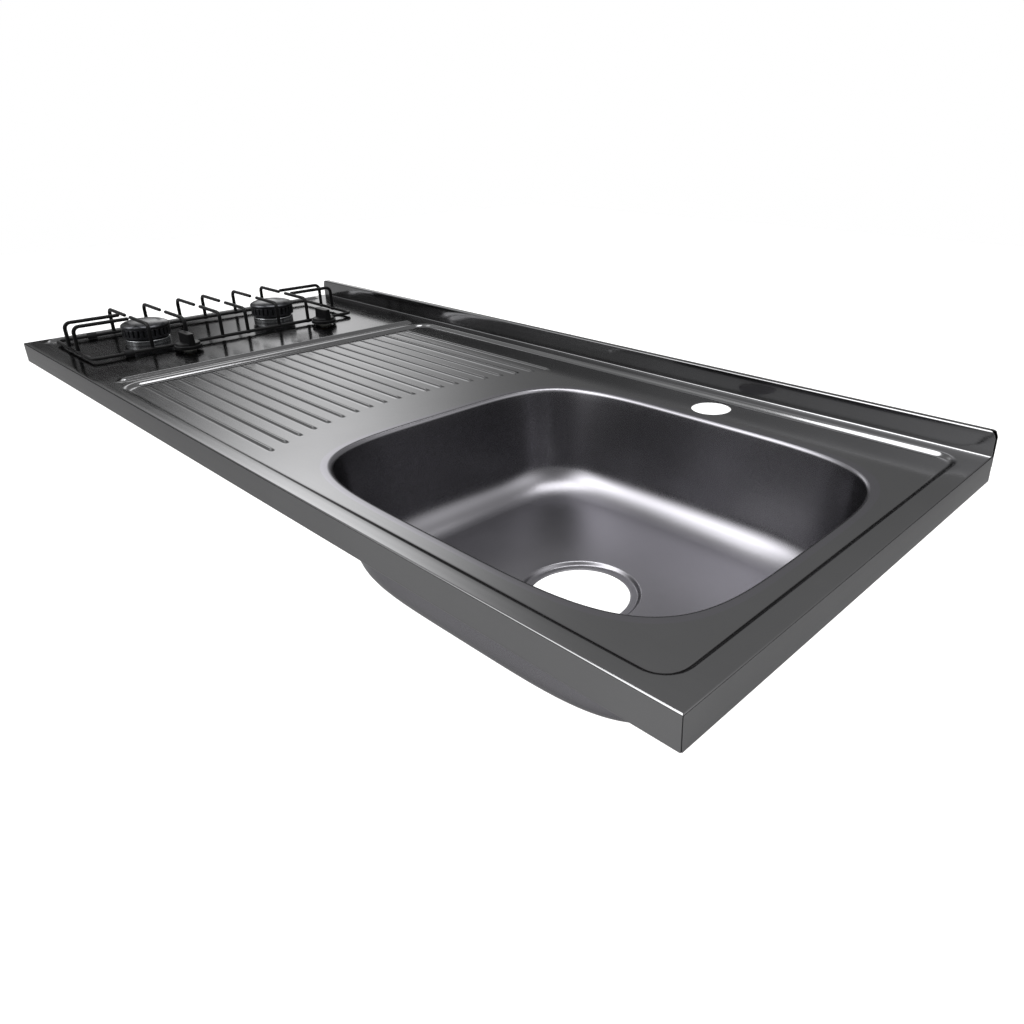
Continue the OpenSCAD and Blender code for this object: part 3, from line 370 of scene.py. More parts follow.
top_parts = [
    top_block(xs_hob, ys_hob, [square_window(x, y, half) for x, y, half, radius in hob_holes]),
    stitch(HOB_END[0], ys_hob, HOB_END[1], ys_drainer),
    top_block(xs_drainer, ys_drainer, []),
    stitch(DRAINER_END[1], ys_bowl, DRAINER_END[0], ys_drainer),
    top_block(xs_bowl, ys_bowl, [bowl_window, tap_window]),
]
for x, y, half, radius in hob_holes:
    window = square_window(x, y, half)
    top_parts.append(holed_window(window, xs_hob, ys_hob, (x, y), circle(radius), HOLE_ROWS)[0])
tap_ring = holed_window(tap_window, xs_bowl, ys_bowl, (TAP_X, TAP_Y), circle(TAP_R), HOLE_ROWS)[0]
bowl_ring, bowl_rays = holed_window(bowl_window, xs_bowl, ys_bowl, (BOWL_X, BOWL_Y),
    bowl_outline(BOWL_FLANGE), BOWL_RING_ROWS)
top_parts += [tap_ring, bowl_ring]

# The aprons' section goes down round the fold, past two rows on the flat face, round the
# second fold and in along the lip. The upstand's goes up from its foot, over and down.
quarter = np.radians(np.linspace(0, 90, 7))
APRON_ROWS_Z, UPSTAND_ROWS_Z, REAR_ROW_Z = (-10.0, -18.0), (8.0, 19.0), -4.0
apron_in = np.concatenate([FOLD_R - FOLD_R * np.sin(quarter), [0, 0],
    FOLD_R - FOLD_R * np.cos(quarter), [LIP]])
apron_down = np.concatenate([-FOLD_R + FOLD_R * np.cos(quarter), APRON_ROWS_Z,
    APRON_Z + FOLD_R - FOLD_R * np.sin(quarter), [APRON_Z]])
slit_share = np.clip(np.arange(len(apron_in)) / len(quarter), 0, 1) * CORNER_SLIT


def apron(columns, place):
    """A folded apron: its section of (inwards, down) carried along an edge, with mitred ends."""
    s = (columns - columns[0]) / (columns[-1] - columns[0])
    points = place(s, apron_in[:, None], apron_down[:, None], slit_share[:, None])
    return points.reshape(-1, 3), grid_faces(len(apron_in), len(columns))


def front_apron(s, inwards, down, slit):
    """x runs between the two mitred corners, y is the section's way in."""
    x = inwards + slit + s * (LENGTH - 2 * inwards - 2 * slit)
    return np.stack(np.broadcast_arrays(x, inwards, down), -1)


def left_apron(s, inwards, down, slit):
    """y runs from the mitred front corner back to the upstand, and below the land past it."""
    back = np.where(down < 0, WIDTH - SHEET_T, LAND_BACK - FOOT_R - 1)
    y = inwards + slit + s * (back - inwards - slit)
    return np.stack(np.broadcast_arrays(inwards, y, down), -1)


def right_apron(s, inwards, down, slit):
    """The left apron mirrored: x is the length less its own."""
    return left_apron(s, inwards, down, slit) * [-1, 1, 1] + [LENGTH, 0, 0]


upstand_y = np.concatenate([LAND_BACK - FOOT_R + FOOT_R * np.sin(quarter), [LAND_BACK, LAND_BACK],
    LAND_BACK + FOLD_R - FOLD_R * np.cos(quarter), WIDTH - FOLD_R + FOLD_R * np.sin(quarter),
    [WIDTH, WIDTH, WIDTH, WIDTH]])
upstand_z = np.concatenate([FOOT_R - FOOT_R * np.cos(quarter), UPSTAND_ROWS_Z,
    UPSTAND_TOP - FOLD_R + FOLD_R * np.sin(quarter), UPSTAND_TOP - FOLD_R + FOLD_R * np.cos(quarter),
    UPSTAND_ROWS_Z[::-1], [REAR_ROW_Z, REAR_APRON_Z]])
corner_rise = np.clip(upstand_z - (UPSTAND_TOP - UPSTAND_CORNER_R), 0, UPSTAND_CORNER_R)
corner_inset = UPSTAND_CORNER_R - np.sqrt(UPSTAND_CORNER_R**2 - corner_rise**2)
foot_inset = FOLD_R * (1 - np.sin(np.clip(upstand_z / FOOT_R, 0, 1) * np.pi / 2))
at_foot = np.arange(len(upstand_z)) < len(quarter)
upstand_end = (corner_inset + np.where(at_foot, foot_inset, 0))[:, None]
along = (all_x - all_x[0]) / (all_x[-1] - all_x[0])
upstand_x = upstand_end + along * (LENGTH - 2 * upstand_end)
upstand = np.stack(np.broadcast_arrays(upstand_x, upstand_y[:, None], upstand_z[:, None]), -1)
top_parts += [
    turned_over(apron(all_x, front_apron)),
    apron(ys_hob, left_apron),
    turned_over(apron(ys_bowl, right_apron)),
    (upstand.reshape(-1, 3), grid_faces(len(upstand_y), len(all_x))),
]

# Satin stainless steel: grey, a little soft in what it mirrors, with the fine lengthwise
# grain of a rolled and brushed sheet. The grain is drawn about 0.5 mm wide, coarser than
# the real one, so that it shows at all, and broad smudges vary the sheen of flat areas.
STEEL_COLOUR = "#787879"
STEEL_EDGE_TINT = "#C6C6C6"
GRAIN_ROUGHNESS, GRAIN_RELIEF = 0.03, 0.06
SMUDGE_ROUGHNESS, SMUDGE_TINT, SMUDGES_PER_METRE = (-0.015, 0.02), (0.93, 1.05), 5.0


def steel_material(name, colour, roughness, grain_per_metre, grain_depth, finish=None):
    """Steel with a grain, in lines per metre along and across, in its roughness and height,
    and faint smudges in its colour and roughness; finish may change the roughness last."""
    made, tree, shader = new_material(name, Metallic=1.0, Specular_Tint=hex_colour(STEEL_EDGE_TINT))
    place = add_node(tree, "ShaderNodeTexCoord")
    along_grain, across_grain = grain_per_metre
    stretched = add_node(tree, "ShaderNodeMapping", {"Scale": (along_grain, across_grain, across_grain)},
        {"Vector": place.outputs["Object"]})
    grain = noise(tree, stretched.outputs["Vector"], 1.0, 3.0, 0.6)
    smudge = noise(tree, place.outputs["Object"], SMUDGES_PER_METRE, 4.0, 0.55)
    grain_rough = remapped(tree, grain, 0.35, 0.65, roughness - GRAIN_ROUGHNESS, roughness + GRAIN_ROUGHNESS)
    rough = combined(tree, "ADD", grain_rough, remapped(tree, smudge, 0.35, 0.65, *SMUDGE_ROUGHNESS))
    if finish:
        rough = finish(tree, shader, place, rough)
    tinted = add_node(tree, "ShaderNodeVectorMath", {0: hex_colour(colour)[:3]},
        {"Scale": remapped(tree, smudge, 0.3, 0.7, *SMUDGE_TINT)}, operation="SCALE")
    relief = add_node(tree, "ShaderNodeBump", {"Strength": GRAIN_RELIEF, "Distance": grain_depth},
        {"Height": grain})
    tree.links.new(tinted.outputs["Vector"], shader.inputs["Base Color"])
    tree.links.new(rough, shader.inputs["Roughness"])
    tree.links.new(relief.outputs["Normal"], shader.inputs["Normal"])
    return made


sheet_steel = steel_material("brushed_stainless_sheet", STEEL_COLOUR, 0.13, (14, 1900), 0.000012)
make_piece("pressed_worktop", "worktop", [with_thickness(*joined(top_parts), SHEET_T)], sheet_steel,
    ["worktop_sheet"])

# Sink bowl: a separate deep drawing of the same steel, welded in under the rolled rim and
# finished satin, with a sunk seat for the waste pressed into its falling floor.
RIM_R, RIM_OUT, WALL_SLOPE = 5.0, 3.0, math.radians(6.9)
FLOOR_R, BOWL_FLOOR, FLOOR_FALL = 36.0, -128.0, 2.0
WASTE_X, WASTE_Y, WASTE_FLAT_R, WASTE_R = 929.0, 203.0, 66.0, 50.5
SEAT_R, SEAT_DEPTH, SEAT_STEP_W, SEAT_BEND, WASTE_EDGE_DROP = 59.5, 3.6, 5.0, 2.2, 0.35


def bowl_grid(angle):
    """The bowl on rays of the sheet's own angles: rim arc, tapered wall, floor arc, then
    a blend (1 - m) * floor outline + m * waste circle, and circles down to the waste."""
    rim = np.linspace(0, np.pi / 2 - WALL_SLOPE, 11)
    rim_off = np.concatenate([[BOWL_FLANGE, BOWL_FLANGE - 1], RIM_OUT - RIM_R * np.sin(rim)])
    rim_z = np.concatenate([[0, 0], RIM_R * np.cos(rim) - RIM_R]) + RECESS_Z
    floor_arc = np.linspace(WALL_SLOPE, np.pi / 2, 14)
    wall_end_z = BOWL_FLOOR + FLOOR_R - FLOOR_R * np.sin(WALL_SLOPE)
    wall_end_off = rim_off[-1] - math.tan(WALL_SLOPE) * (rim_z[-1] - wall_end_z)
    share = np.linspace(0, 1, 12)[1:-1]
    wall_off = rim_off[-1] + share * (wall_end_off - rim_off[-1])
    wall_z = rim_z[-1] + share * (wall_end_z - rim_z[-1])
    floor_off = wall_end_off - FLOOR_R * math.cos(WALL_SLOPE)
    off = np.concatenate([rim_off, wall_off, floor_off + FLOOR_R * np.cos(floor_arc)])[:, None]
    z = np.concatenate([rim_z, wall_z, BOWL_FLOOR + FLOOR_R - FLOOR_R * np.sin(floor_arc)])[:, None]
    reach = bowl_outline(off)(angle)
    ray = np.stack([np.cos(angle), np.sin(angle)])
    walls = np.stack(np.broadcast_arrays(BOWL_X + reach * ray[0], BOWL_Y + reach * ray[1], z), -1)
    m = np.linspace(0, 1, 13)[1:, None]
    inner = np.stack(np.broadcast_arrays((1 - m) * walls[-1, :, 0] + m * (WASTE_X + WASTE_FLAT_R * ray[0]),
        (1 - m) * walls[-1, :, 1] + m * (WASTE_Y + WASTE_FLAT_R * ray[1]),
        BOWL_FLOOR - FLOOR_FALL * m**1.5), -1)
    seat_r = np.concatenate([np.linspace(WASTE_FLAT_R - 2, SEAT_R - 3, 12), [54, WASTE_R + 1, WASTE_R]])
    seat_r = seat_r[:, None]
    inside_step = SEAT_R + SEAT_STEP_W / 2 - seat_r
    seat_z = BOWL_FLOOR - FLOOR_FALL - SEAT_DEPTH * ramp(inside_step, SEAT_STEP_W, SEAT_BEND)
    seat_z[-1] -= WASTE_EDGE_DROP
    seat = np.stack(np.broadcast_arrays(WASTE_X + seat_r * ray[0], WASTE_Y + seat_r * ray[1], seat_z), -1)
    return np.concatenate([walls, inner, seat])


BOWL_COLOUR, BOWL_ROUGHNESS, FLOOR_ROUGHNESS = "#7B7A7E", 0.27, 0.07
RIM_POLISH, RIM_POLISH_Z = 0.35, (0.0234, 0.0239)


def satin_bowl(tree, shader, place, rough):
    """The bowl's finish: its floor is rougher than its walls, its flange is as smooth as the
    sheet, and its highlights stretch a little, as on metal polished one way."""
    facing = add_node(tree, "ShaderNodeSeparateXYZ", links={"Vector": place.outputs["Normal"]})
    floor_extra = remapped(tree, facing.outputs["Z"], 0.3, 0.97, 0.0, FLOOR_ROUGHNESS)
    rough = combined(tree, "ADD", rough, floor_extra)
    height = add_node(tree, "ShaderNodeSeparateXYZ", links={"Vector": place.outputs["Object"]})
    rim_share = remapped(tree, height.outputs["Z"], *RIM_POLISH_Z, 1.0, RIM_POLISH)
    rough = combined(tree, "MULTIPLY", rough, rim_share)
    upward = add_node(tree, "ShaderNodeCombineXYZ", {"Y": 0.1, "Z": 1.0})
    tree.links.new(upward.outputs["Vector"], shader.inputs["Tangent"])
    shader.inputs["Anisotropic"].default_value = 0.3
    return rough


bowl = bowl_grid(bowl_rays)
bowl_steel = steel_material("satin_stainless_bowl", BOWL_COLOUR, BOWL_ROUGHNESS, (2400, 2400), 0.00001,
    satin_bowl)
make_piece("pressed_sink_bowl", "worktop",
    [with_thickness(bowl.reshape(-1, 3), grid_faces(*bowl.shape[:2]), SHEET_T)],
    bowl_steel, ["sink_bowl"])


def dress(material, slot, *nodes):
    """Gives CAD nodes whose shape is right their material."""
    for name in nodes:
        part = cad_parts[name]
        part.data.materials.clear()
        part.data.materials.append(material)


def mottled(name, values, dark, light, scale, roughness, relief_depth=0.0):
    """A material whose colour and roughness vary between two ends with a noise of that scale per metre."""
    made, tree, shader = new_material(name, **values)
    place = add_node(tree, "ShaderNodeTexCoord")
    cloud = noise(tree, place.outputs["Object"], scale, 4.0, 0.6)
    colours = add_node(tree, "ShaderNodeValToRGB", links={"Fac": cloud})
    colours.color_ramp.elements[0].position, colours.color_ramp.elements[1].position = 0.35, 0.65
    colours.color_ramp.elements[0].color = hex_colour(dark)
    colours.color_ramp.elements[1].color = hex_colour(light)
    tree.links.new(colours.outputs["Color"], shader.inputs["Base Color"])
    tree.links.new(remapped(tree, cloud, 0.3, 0.7, *roughness), shader.inputs["Roughness"])
    if relief_depth:
        relief = add_node(tree, "ShaderNodeBump", {"Strength": 0.5, "Distance": relief_depth},
            {"Height": cloud})
        tree.links.new(relief.outputs["Normal"], shader.inputs["Normal"])
    return made


# Underside: two channels of galvanised steel spot-welded across the recess, the angles for
# the cabinet's screws, the sheet tray under the hob and the clamps of the gas pipe, all with
# zinc's cloudy grey.
galvanised = mottled("galvanised_steel", {"Metallic": 1.0}, "#8C9092", "#A9ADAF", 160, (0.34, 0.5), 0.00003)
dress(galvanised, "galvanised_steel", "drainer_channel", "bowl_channel", "fixing_brackets", "burner_tray",
    "manifold_clamps")

# Sound-damping pad: a sheet of filled bitumen, rolled out, cut and stuck on; it stays
# nearly matt, with a fine pebbled skin.
bitumen = mottled("bitumen_felt", {"Specular_IOR_Level": 0.3}, "#26262A", "#34343A", 700, (0.72, 0.9),
    0.0002)
dress(bitumen, "bitumen_pad", "damping_pad")

# Screws, studs, nuts and spindles: steel, zinc plated, with a faint yellowish cloud on the
# plating that breaks up their glints.
zinc = mottled("zinc_plated_steel", {"Metallic": 1.0}, "#9A9C97", "#B9BBB4", 320, (0.24, 0.38))
dress(zinc, "zinc_plate", "tray_studs", "tray_nuts", "burner_screws", "tap_nuts", "clamp_screws",
    "front_spindle", "rear_spindle")

# Taps, plugs, jets, tube nuts and the gas inlet: turned and forged brass, slightly dulled,
# so it looks warm beside the grey steel.
brass = mottled("turned_brass", {"Metallic": 1.0}, "#A88A4C", "#C6A863", 140, (0.22, 0.4))
dress(brass, "brass", "front_injector", "rear_injector", "front_gas_tap", "rear_gas_tap", "front_tap_plug",
    "rear_tap_plug", "tube_nuts", "gas_inlet_fitting")

# Mixing tubes: cast aluminium as it left the mould, pale grey, grainy and dull, screwed up
# under the hob with the burner cups.
cast_aluminium = mottled("cast_aluminium", {"Metallic": 1.0}, "#7E8082", "#9C9EA0", 520, (0.42, 0.6),
    0.00006)
dress(cast_aluminium, "cast_aluminium", "front_mixing_tube", "rear_mixing_tube")

# Rubber grommet round the gas pipe where it leaves the tray: black moulded rubber, nearly
# matt, pushed into the tray's hole.
rubber = mottled("black_rubber", {"Specular_IOR_Level": 0.15}, "#0D0D0E", "#131315", 420, (0.55, 0.75),
    0.00005)
dress(rubber, "black_rubber", "pipe_grommet")

# Gas pipes: the tubes from the taps to the jets are soft bent aluminium; the manifold is
# steel tube with black enamel baked on, which keeps a low sheen.
TUBE_R, TUBE_BEND = 4.0, 8.0
TUBE_OUTLET_X, TUBE_TURN_X, TUBE_Z, TUBE_LOW_Z, TUBE_END_Z = 204.5, 160.0, -24.0, -76.0, -66.0
BEND_STEPS, TUBE_SIDES = 8, 20
SWEEP_UP = (0.267, 0.535, 0.802)


def rounded_route(points, bend):
    """A route whose inner corners are arcs: c + bend * (u sin a - n cos a) round each corner."""
    route = [np.array(points[0], float)[None]]
    for before, corner, after in zip(points[:-2], points[1:-1], points[2:]):
        before, corner, after = (np.array(p, float) for p in (before, corner, after))
        u = (corner - before) / np.linalg.norm(corner - before)
        v = (after - corner) / np.linalg.norm(after - corner)
        turn = math.acos(float(np.clip(u @ v, -1, 1)))
        n = v - (u @ v) * u
        n /= np.linalg.norm(n)
        middle = corner - u * bend * math.tan(turn / 2) + n * bend
        a = np.linspace(0, turn, BEND_STEPS + 1)[:, None]
        route.append(middle + bend * (u * np.sin(a) - n * np.cos(a)))
    return np.concatenate([*route, np.array(points[-1], float)[None]])


def swept(route, radius, sides=TUBE_SIDES, up=SWEEP_UP, round_ends=False):
    """A tube: rings p + r (a cos t + b sin t) square to the route, a and b turned from one
    fixed direction. Its ends close flat, or in quarter circles of the tube's own radius."""
    tangent = np.gradient(route, axis=0)
    tangent /= np.linalg.norm(tangent, axis=1)[:, None]
    radius = np.broadcast_to(np.asarray(radius, float), len(route))
    if round_ends:
        a = np.radians([90, 60, 35, 15])
        head = route[0] - tangent[0] * (radius[0] * np.sin(a))[:, None]
        tail = route[-1] + tangent[-1] * (radius[-1] * np.sin(a))[::-1, None]
        route = np.concatenate([head, route, tail])
        tangent = np.concatenate([np.repeat(tangent[:1], 4, 0), tangent, np.repeat(tangent[-1:], 4, 0)])
        radius = np.concatenate([radius[0] * np.cos(a), radius, radius[-1] * np.cos(a)[::-1]])
    else:
        route = np.concatenate([route[:1], route, route[-1:]])
        tangent = np.concatenate([tangent[:1], tangent, tangent[-1:]])
        radius = np.concatenate([[0], radius, [0]])
    a_axis = np.cross(tangent, up)
    a_axis /= np.linalg.norm(a_axis, axis=1)[:, None]
    b_axis = np.cross(tangent, a_axis)
    t = np.linspace(0, 2 * np.pi, sides + 1)[None, :, None]
    around = a_axis[:, None] * np.cos(t) + b_axis[:, None] * np.sin(t)
    rings = route[:, None] + radius[:, None, None] * around
    return rings.reshape(-1, 3), grid_faces(len(route), sides + 1)


tube_aluminium = mottled("bent_aluminium_tube", {"Metallic": 1.0}, "#A5A7A9", "#BCBEC0", 90, (0.28, 0.42))
for which, knob_y, burner_y in (("front", KNOB_Y[0], BURNER_Y[0]), ("rear", KNOB_Y[1], BURNER_Y[1])):
    route = rounded_route([(TUBE_OUTLET_X, knob_y, TUBE_Z), (TUBE_TURN_X, knob_y, TUBE_Z),
        (TUBE_TURN_X, knob_y, TUBE_LOW_Z), (BURNER_X, burner_y, TUBE_LOW_Z),
        (BURNER_X, burner_y, TUBE_END_Z)], TUBE_BEND)
    make_piece(which + "_bent_tube", "worktop", [swept(route, TUBE_R)], tube_aluminium,
        [which + "_gas_tube"])
black_enamel = mottled("black_enamel", {"Specular_IOR_Level": 0.12}, "#080809", "#0D0D0E", 260, (0.4, 0.52),
    0.00004)
dress(black_enamel, "black_enamel", "gas_manifold")

# Burners: an aluminium cup screwed through the hob, a loose cast crown whose slots are the
# flame ports, and a loose domed cap with a satin turned face that closes it from above.
THROAT_R, NECK_R, NECK_BORE_R, NECK_BOTTOM, NECK_FLOOR = 9.0, 24.5, 22.0, -9.0, -7.0
CUP_R, CUP_BORE_R, CUP_FOOT, CUP_FLOOR, CUP_TOP = 30.0, 26.0, -0.05, 2.0, 6.5
SPIGOT_R, SPIGOT_FOOT, COLLAR_R, CROWN_Z, CROWN_TOP, CROWN_R = 25.7, 2.8, 27.2, 6.8, 21.5, 32.0
CROWN_BORE_R, CROWN_LEDGE_Z, CAP_SEAT_R, CAP_SEAT_Z = 22.0, 9.4, 27.0, 18.5
CAP_R, CAP_Z, CAP_EDGE_H, CAP_DOME_H, CAP_RING_R = 32.5, 21.8, 3.0, 8.0, (24.7, 26.7)
SLOTS, SLOT_W, SLOT_DEPTH, SLOT_EDGE, SLOT_EDGE_BEND = 28, 1.6, 4.0, 0.5, 0.2
SLOT_FOOT, SLOT_HEAD, SLOT_END, SLOT_END_BEND = 4.6, 1.0, 0.8, 0.3
CORNER_STEPS, COLUMNS_PER_SLOT = 5, 12


def turned(profile, centre, columns=96, shape=None):
    """A profile of (radius, height) turned about a burner's or knob's axis; shape may change
    the radius with (angle, height)."""
    profile = np.array(profile, float)
    angle = np.linspace(0, 2 * np.pi, columns + 1)[None]
    radius, height = profile[:, :1] + 0 * angle, profile[:, 1:] + 0 * angle
    if shape is not None:
        radius = shape(radius, angle, height)
    points = np.stack([centre[0] + radius * np.cos(angle), centre[1] + radius * np.sin(angle), height], -1)
    return points.reshape(-1, 3), grid_faces(len(profile), columns + 1)


def rounded_profile(points, bends):
    """A turned section whose inner corners are curves (1 - t)^2 p + 2 t (1 - t) c + t^2 q, p
    and q lying one bend before and after the corner c, or at most halfway to the next."""
    points = [np.array(p, float) for p in points]
    out = [points[0][None]]
    for before, corner, after, bend in zip(points[:-2], points[1:-1], points[2:], bends):
        u, v = before - corner, after - corner
        cut = min(bend, np.linalg.norm(u) * 0.49, np.linalg.norm(v) * 0.49)
        p, q = corner + u / np.linalg.norm(u) * cut, corner + v / np.linalg.norm(v) * cut
        t = np.linspace(0, 1, CORNER_STEPS)[:, None]
        out.append((1 - t) ** 2 * p + 2 * t * (1 - t) * corner + t**2 * q)
    return np.concatenate([*out, points[-1][None]])


def slotted(radius, angle, height):
    """Cuts the flame slots: within half a slot's width of each slot's line, the outer wall
    drops in by SLOT_DEPTH between the slots' lower and upper ends."""
    turn = (angle * SLOTS / (2 * np.pi) + 0.5) % 1 - 0.5
    across = np.abs(turn) * 2 * np.pi * CROWN_R / SLOTS
    in_slot = ramp(SLOT_W / 2 + SLOT_EDGE / 2 - across, SLOT_EDGE, SLOT_EDGE_BEND)
    above_foot = ramp(height - (CROWN_Z + SLOT_FOOT), SLOT_END, SLOT_END_BEND)
    below_head = ramp(CROWN_TOP + SLOT_HEAD - height, SLOT_END, SLOT_END_BEND)
    return radius - SLOT_DEPTH * in_slot * (above_foot * below_head) * (radius > CROWN_R - 2.5)


cup_aluminium = mottled("bright_aluminium_cup", {"Metallic": 1.0}, "#8E9092", "#A6A8AA", 380, (0.16, 0.26),
    0.00002)
crown_aluminium = mottled("burner_cast_aluminium", {"Metallic": 1.0}, "#2E2F31", "#404144", 380, (0.36, 0.5),
    0.00005)
cap_steel = mottled("satin_burner_cap", {"Metallic": 1.0}, "#303032", "#404144", 240, (0.26, 0.36), 0.00002)
cup_section = rounded_profile([(THROAT_R, NECK_BOTTOM), (NECK_R, NECK_BOTTOM), (NECK_R, CUP_FOOT),
    (CUP_R, CUP_FOOT), (CUP_R, CUP_TOP), (CUP_BORE_R, CUP_TOP), (CUP_BORE_R, CUP_FLOOR),
    (NECK_BORE_R, CUP_FLOOR), (NECK_BORE_R, NECK_FLOOR), (THROAT_R, NECK_FLOOR), (THROAT_R, NECK_BOTTOM)],
    [0.5, 0.2, 0.2, 1.4, 0.8, 0.8, 0.5, 1, 0.5])
crown_wall_z = np.concatenate([np.linspace(CROWN_Z + 4.4, CROWN_Z + 5.6, 5), np.linspace(13, 20.2, 6)])
crown_section = np.concatenate([
    rounded_profile([(CROWN_BORE_R, SPIGOT_FOOT), (SPIGOT_R, SPIGOT_FOOT), (SPIGOT_R, CROWN_Z),
        (COLLAR_R, CROWN_Z), (COLLAR_R, CROWN_LEDGE_Z), (CROWN_R, CROWN_LEDGE_Z), (CROWN_R, 11)],
        [0.5, 0.3, 0.6, 0.3, 1.0]),
    np.stack([np.full(len(crown_wall_z), CROWN_R), crown_wall_z], 1),
    rounded_profile([(CROWN_R, 20.3), (CROWN_R, CROWN_TOP), (CAP_SEAT_R, CROWN_TOP),
        (CAP_SEAT_R, CAP_SEAT_Z), (CROWN_BORE_R + 2, 9.8), (CROWN_BORE_R, 8.8), (CROWN_BORE_R, SPIGOT_FOOT)],
        [1.0, 0.5, 0.5, 0.8, 0.8])])
dome_angle = np.radians(np.arange(0, 91, 6))
cap_dome = np.stack([CAP_R * np.cos(dome_angle), CAP_Z + CAP_EDGE_H + CAP_DOME_H * np.sin(dome_angle)], 1)
cap_section = np.concatenate([[(0, CAP_Z + 2)],
    rounded_profile([(0.5, CAP_Z + 2), (CAP_RING_R[0], CAP_Z + 2), (CAP_RING_R[0], CAP_Z - 2),
        (CAP_RING_R[1], CAP_Z - 2), (CAP_RING_R[1], CAP_Z), (CAP_R, CAP_Z), (CAP_R, CAP_Z + CAP_EDGE_H)],
        [0.3, 0.5, 0.5, 0.3, 1.0]),
    cap_dome])
for which, burner_y in (("front", BURNER_Y[0]), ("rear", BURNER_Y[1])):
    centre = (BURNER_X, burner_y)
    make_piece(which + "_cup", "worktop", [turned(cup_section, centre)], cup_aluminium,
        [which + "_burner_cup"])
    make_piece(which + "_crown_ring", which + "_crown",
        [turned(crown_section, centre, SLOTS * COLUMNS_PER_SLOT, slotted)],
        crown_aluminium, [which + "_burner_crown"])
    make_piece(which + "_cap_dome", which + "_cap", [turned(cap_section, centre)], cap_steel,
        [which + "_burner_cap"])

# Knobs: black thermosetting plastic, moulded in one: a round skirt, a low drum and the bar
# that the fingers turn. It pushes onto the tap's flatted spindle.
SKIRT_R, SKIRT_HOLLOW_R, SKIRT_FOOT, SKIRT_TOP, HOLLOW_TOP = 18.5, 14.5, 3.8, 8.2, 9.6
DRUM_R, DRUM_EDGE_Z, DRUM_TOP, SOCKET_R = 16.0, 11.6, 12.0, 4.1
BAR_HALF_L, BAR_HALF_W, BAR_TOP, BAR_TOP_R = 17.0, 5.5, 25.5, 1.5
BAR_ROWS_Z, BAR_ROWS_INSET = (10.5, 14.0, 18.0, 22.0), (-0.4, -0.1, 0.15, 0.3)
BAR_END_EXPONENT, BAR_SIDE_EXPONENT = 6.0, 3.2
knob_section = np.concatenate([[(0, HOLLOW_TOP)],
    rounded_profile([(SOCKET_R, HOLLOW_TOP), (SKIRT_HOLLOW_R, HOLLOW_TOP), (SKIRT_HOLLOW_R, SKIRT_FOOT),
        (SKIRT_R, SKIRT_FOOT), (SKIRT_R, SKIRT_TOP), (DRUM_R + 0.4, SKIRT_TOP + 0.4), (DRUM_R, DRUM_EDGE_Z),
        (0.5, DRUM_TOP)], [0.5, 0.4, 0.5, 1.3, 0.5, 1.6]),
    [(0, DRUM_TOP)]])


def knob_bar(centre):
    """The bar: rings x = l cos^(2/6), y = w sin^(2/3.2) stacked from the drum up, drawn in by
    about 2 degrees of draft and by a quarter circle at the top edge, then closed flat."""
    edge = np.radians(np.linspace(0, 90, 7))
    inset = np.concatenate([BAR_ROWS_INSET, 0.35 + BAR_TOP_R * (1 - np.cos(edge)), [5.4, 5.49, 5.5]])
    z = np.concatenate([BAR_ROWS_Z, BAR_TOP - 1.7 + BAR_TOP_R * np.sin(edge), [BAR_TOP, BAR_TOP, BAR_TOP]])
    angle = np.linspace(0, 2 * np.pi, 73)[None]
    half_l = BAR_HALF_L - 0.6 * np.clip(inset, -1, 2)[:, None]
    half_w = BAR_HALF_W - np.clip(inset, -1, BAR_HALF_W)[:, None]
    half_l[-3:] = [[15.0], [8.0], [0.0]]
    x = centre[0] + half_l * np.sign(np.cos(angle)) * np.abs(np.cos(angle)) ** (2 / BAR_END_EXPONENT)
    y = centre[1] + half_w * np.sign(np.sin(angle)) * np.abs(np.sin(angle)) ** (2 / BAR_SIDE_EXPONENT)
    rings = np.stack(np.broadcast_arrays(x, y, z[:, None]), -1)
    bottom = rings[:1] * 0 + np.array([centre[0], centre[1], z[0]])
    points = np.concatenate([bottom, rings])
    return points.reshape(-1, 3), grid_faces(*points.shape[:2])


knob_plastic = mottled("black_moulded_plastic", {"Specular_IOR_Level": 0.1}, "#070708", "#0C0C0D", 300,
    (0.36, 0.48), 0.00003)
for which, knob_y in (("front", KNOB_Y[0]), ("rear", KNOB_Y[1])):
    centre = (KNOB_X, knob_y)
    make_piece(which + "_control_knob", which + "_knob", [turned(knob_section, centre), knob_bar(centre)],
        knob_plastic, [which + "_knob"])

# Pan support: steel wire of 5 mm, bent, welded into one loose rack and enamelled black. It
# stands on four rubber sleeves pushed over its base wires.
WIRE_R, WIRE_BEND, BASE_Z, RACK_Z = 2.5, 8.0, 5.0, 40.0
RACK_X, RACK_Y, RACK_MID_Y = (50.0, 198.0), (31.0, 423.0), 227.0
FINGER_Y, FINGER_GAP = (-119.0, -70.0, -19.5, 19.5, 70.0, 119.0), 11.5
END_WIRE_X, END_WIRE_LENGTH = 18.0, 70.0
WELD_HALF_L, WELD_SKIN, WELD_SWELL, WELD_SIDES = 4.2, 0.05, 0.75, 16
SLEEVE_AT_Y, SLEEVE_SIDES = (-150.0, 150.0), 28
SLEEVE_ALONG = (-6, -5.9, -5.5, -4.5, 4.5, 5.5, 5.9, 6)
SLEEVE_RADII = (3.6, 4.2, 4.6, 4.7, 4.7, 4.6, 4.2, 3.6)


def weld_bead(at, along):
    """The swelling of a weld and its enamel: a short tube whose radius is a cos^2 hump."""
    s = np.linspace(-1, 1, 9)
    route = np.array(at, float) + np.array(along, float) * (s * WELD_HALF_L)[:, None]
    return swept(route, WIRE_R + WELD_SKIN + WELD_SWELL * np.cos(s * np.pi / 2) ** 2, WELD_SIDES)


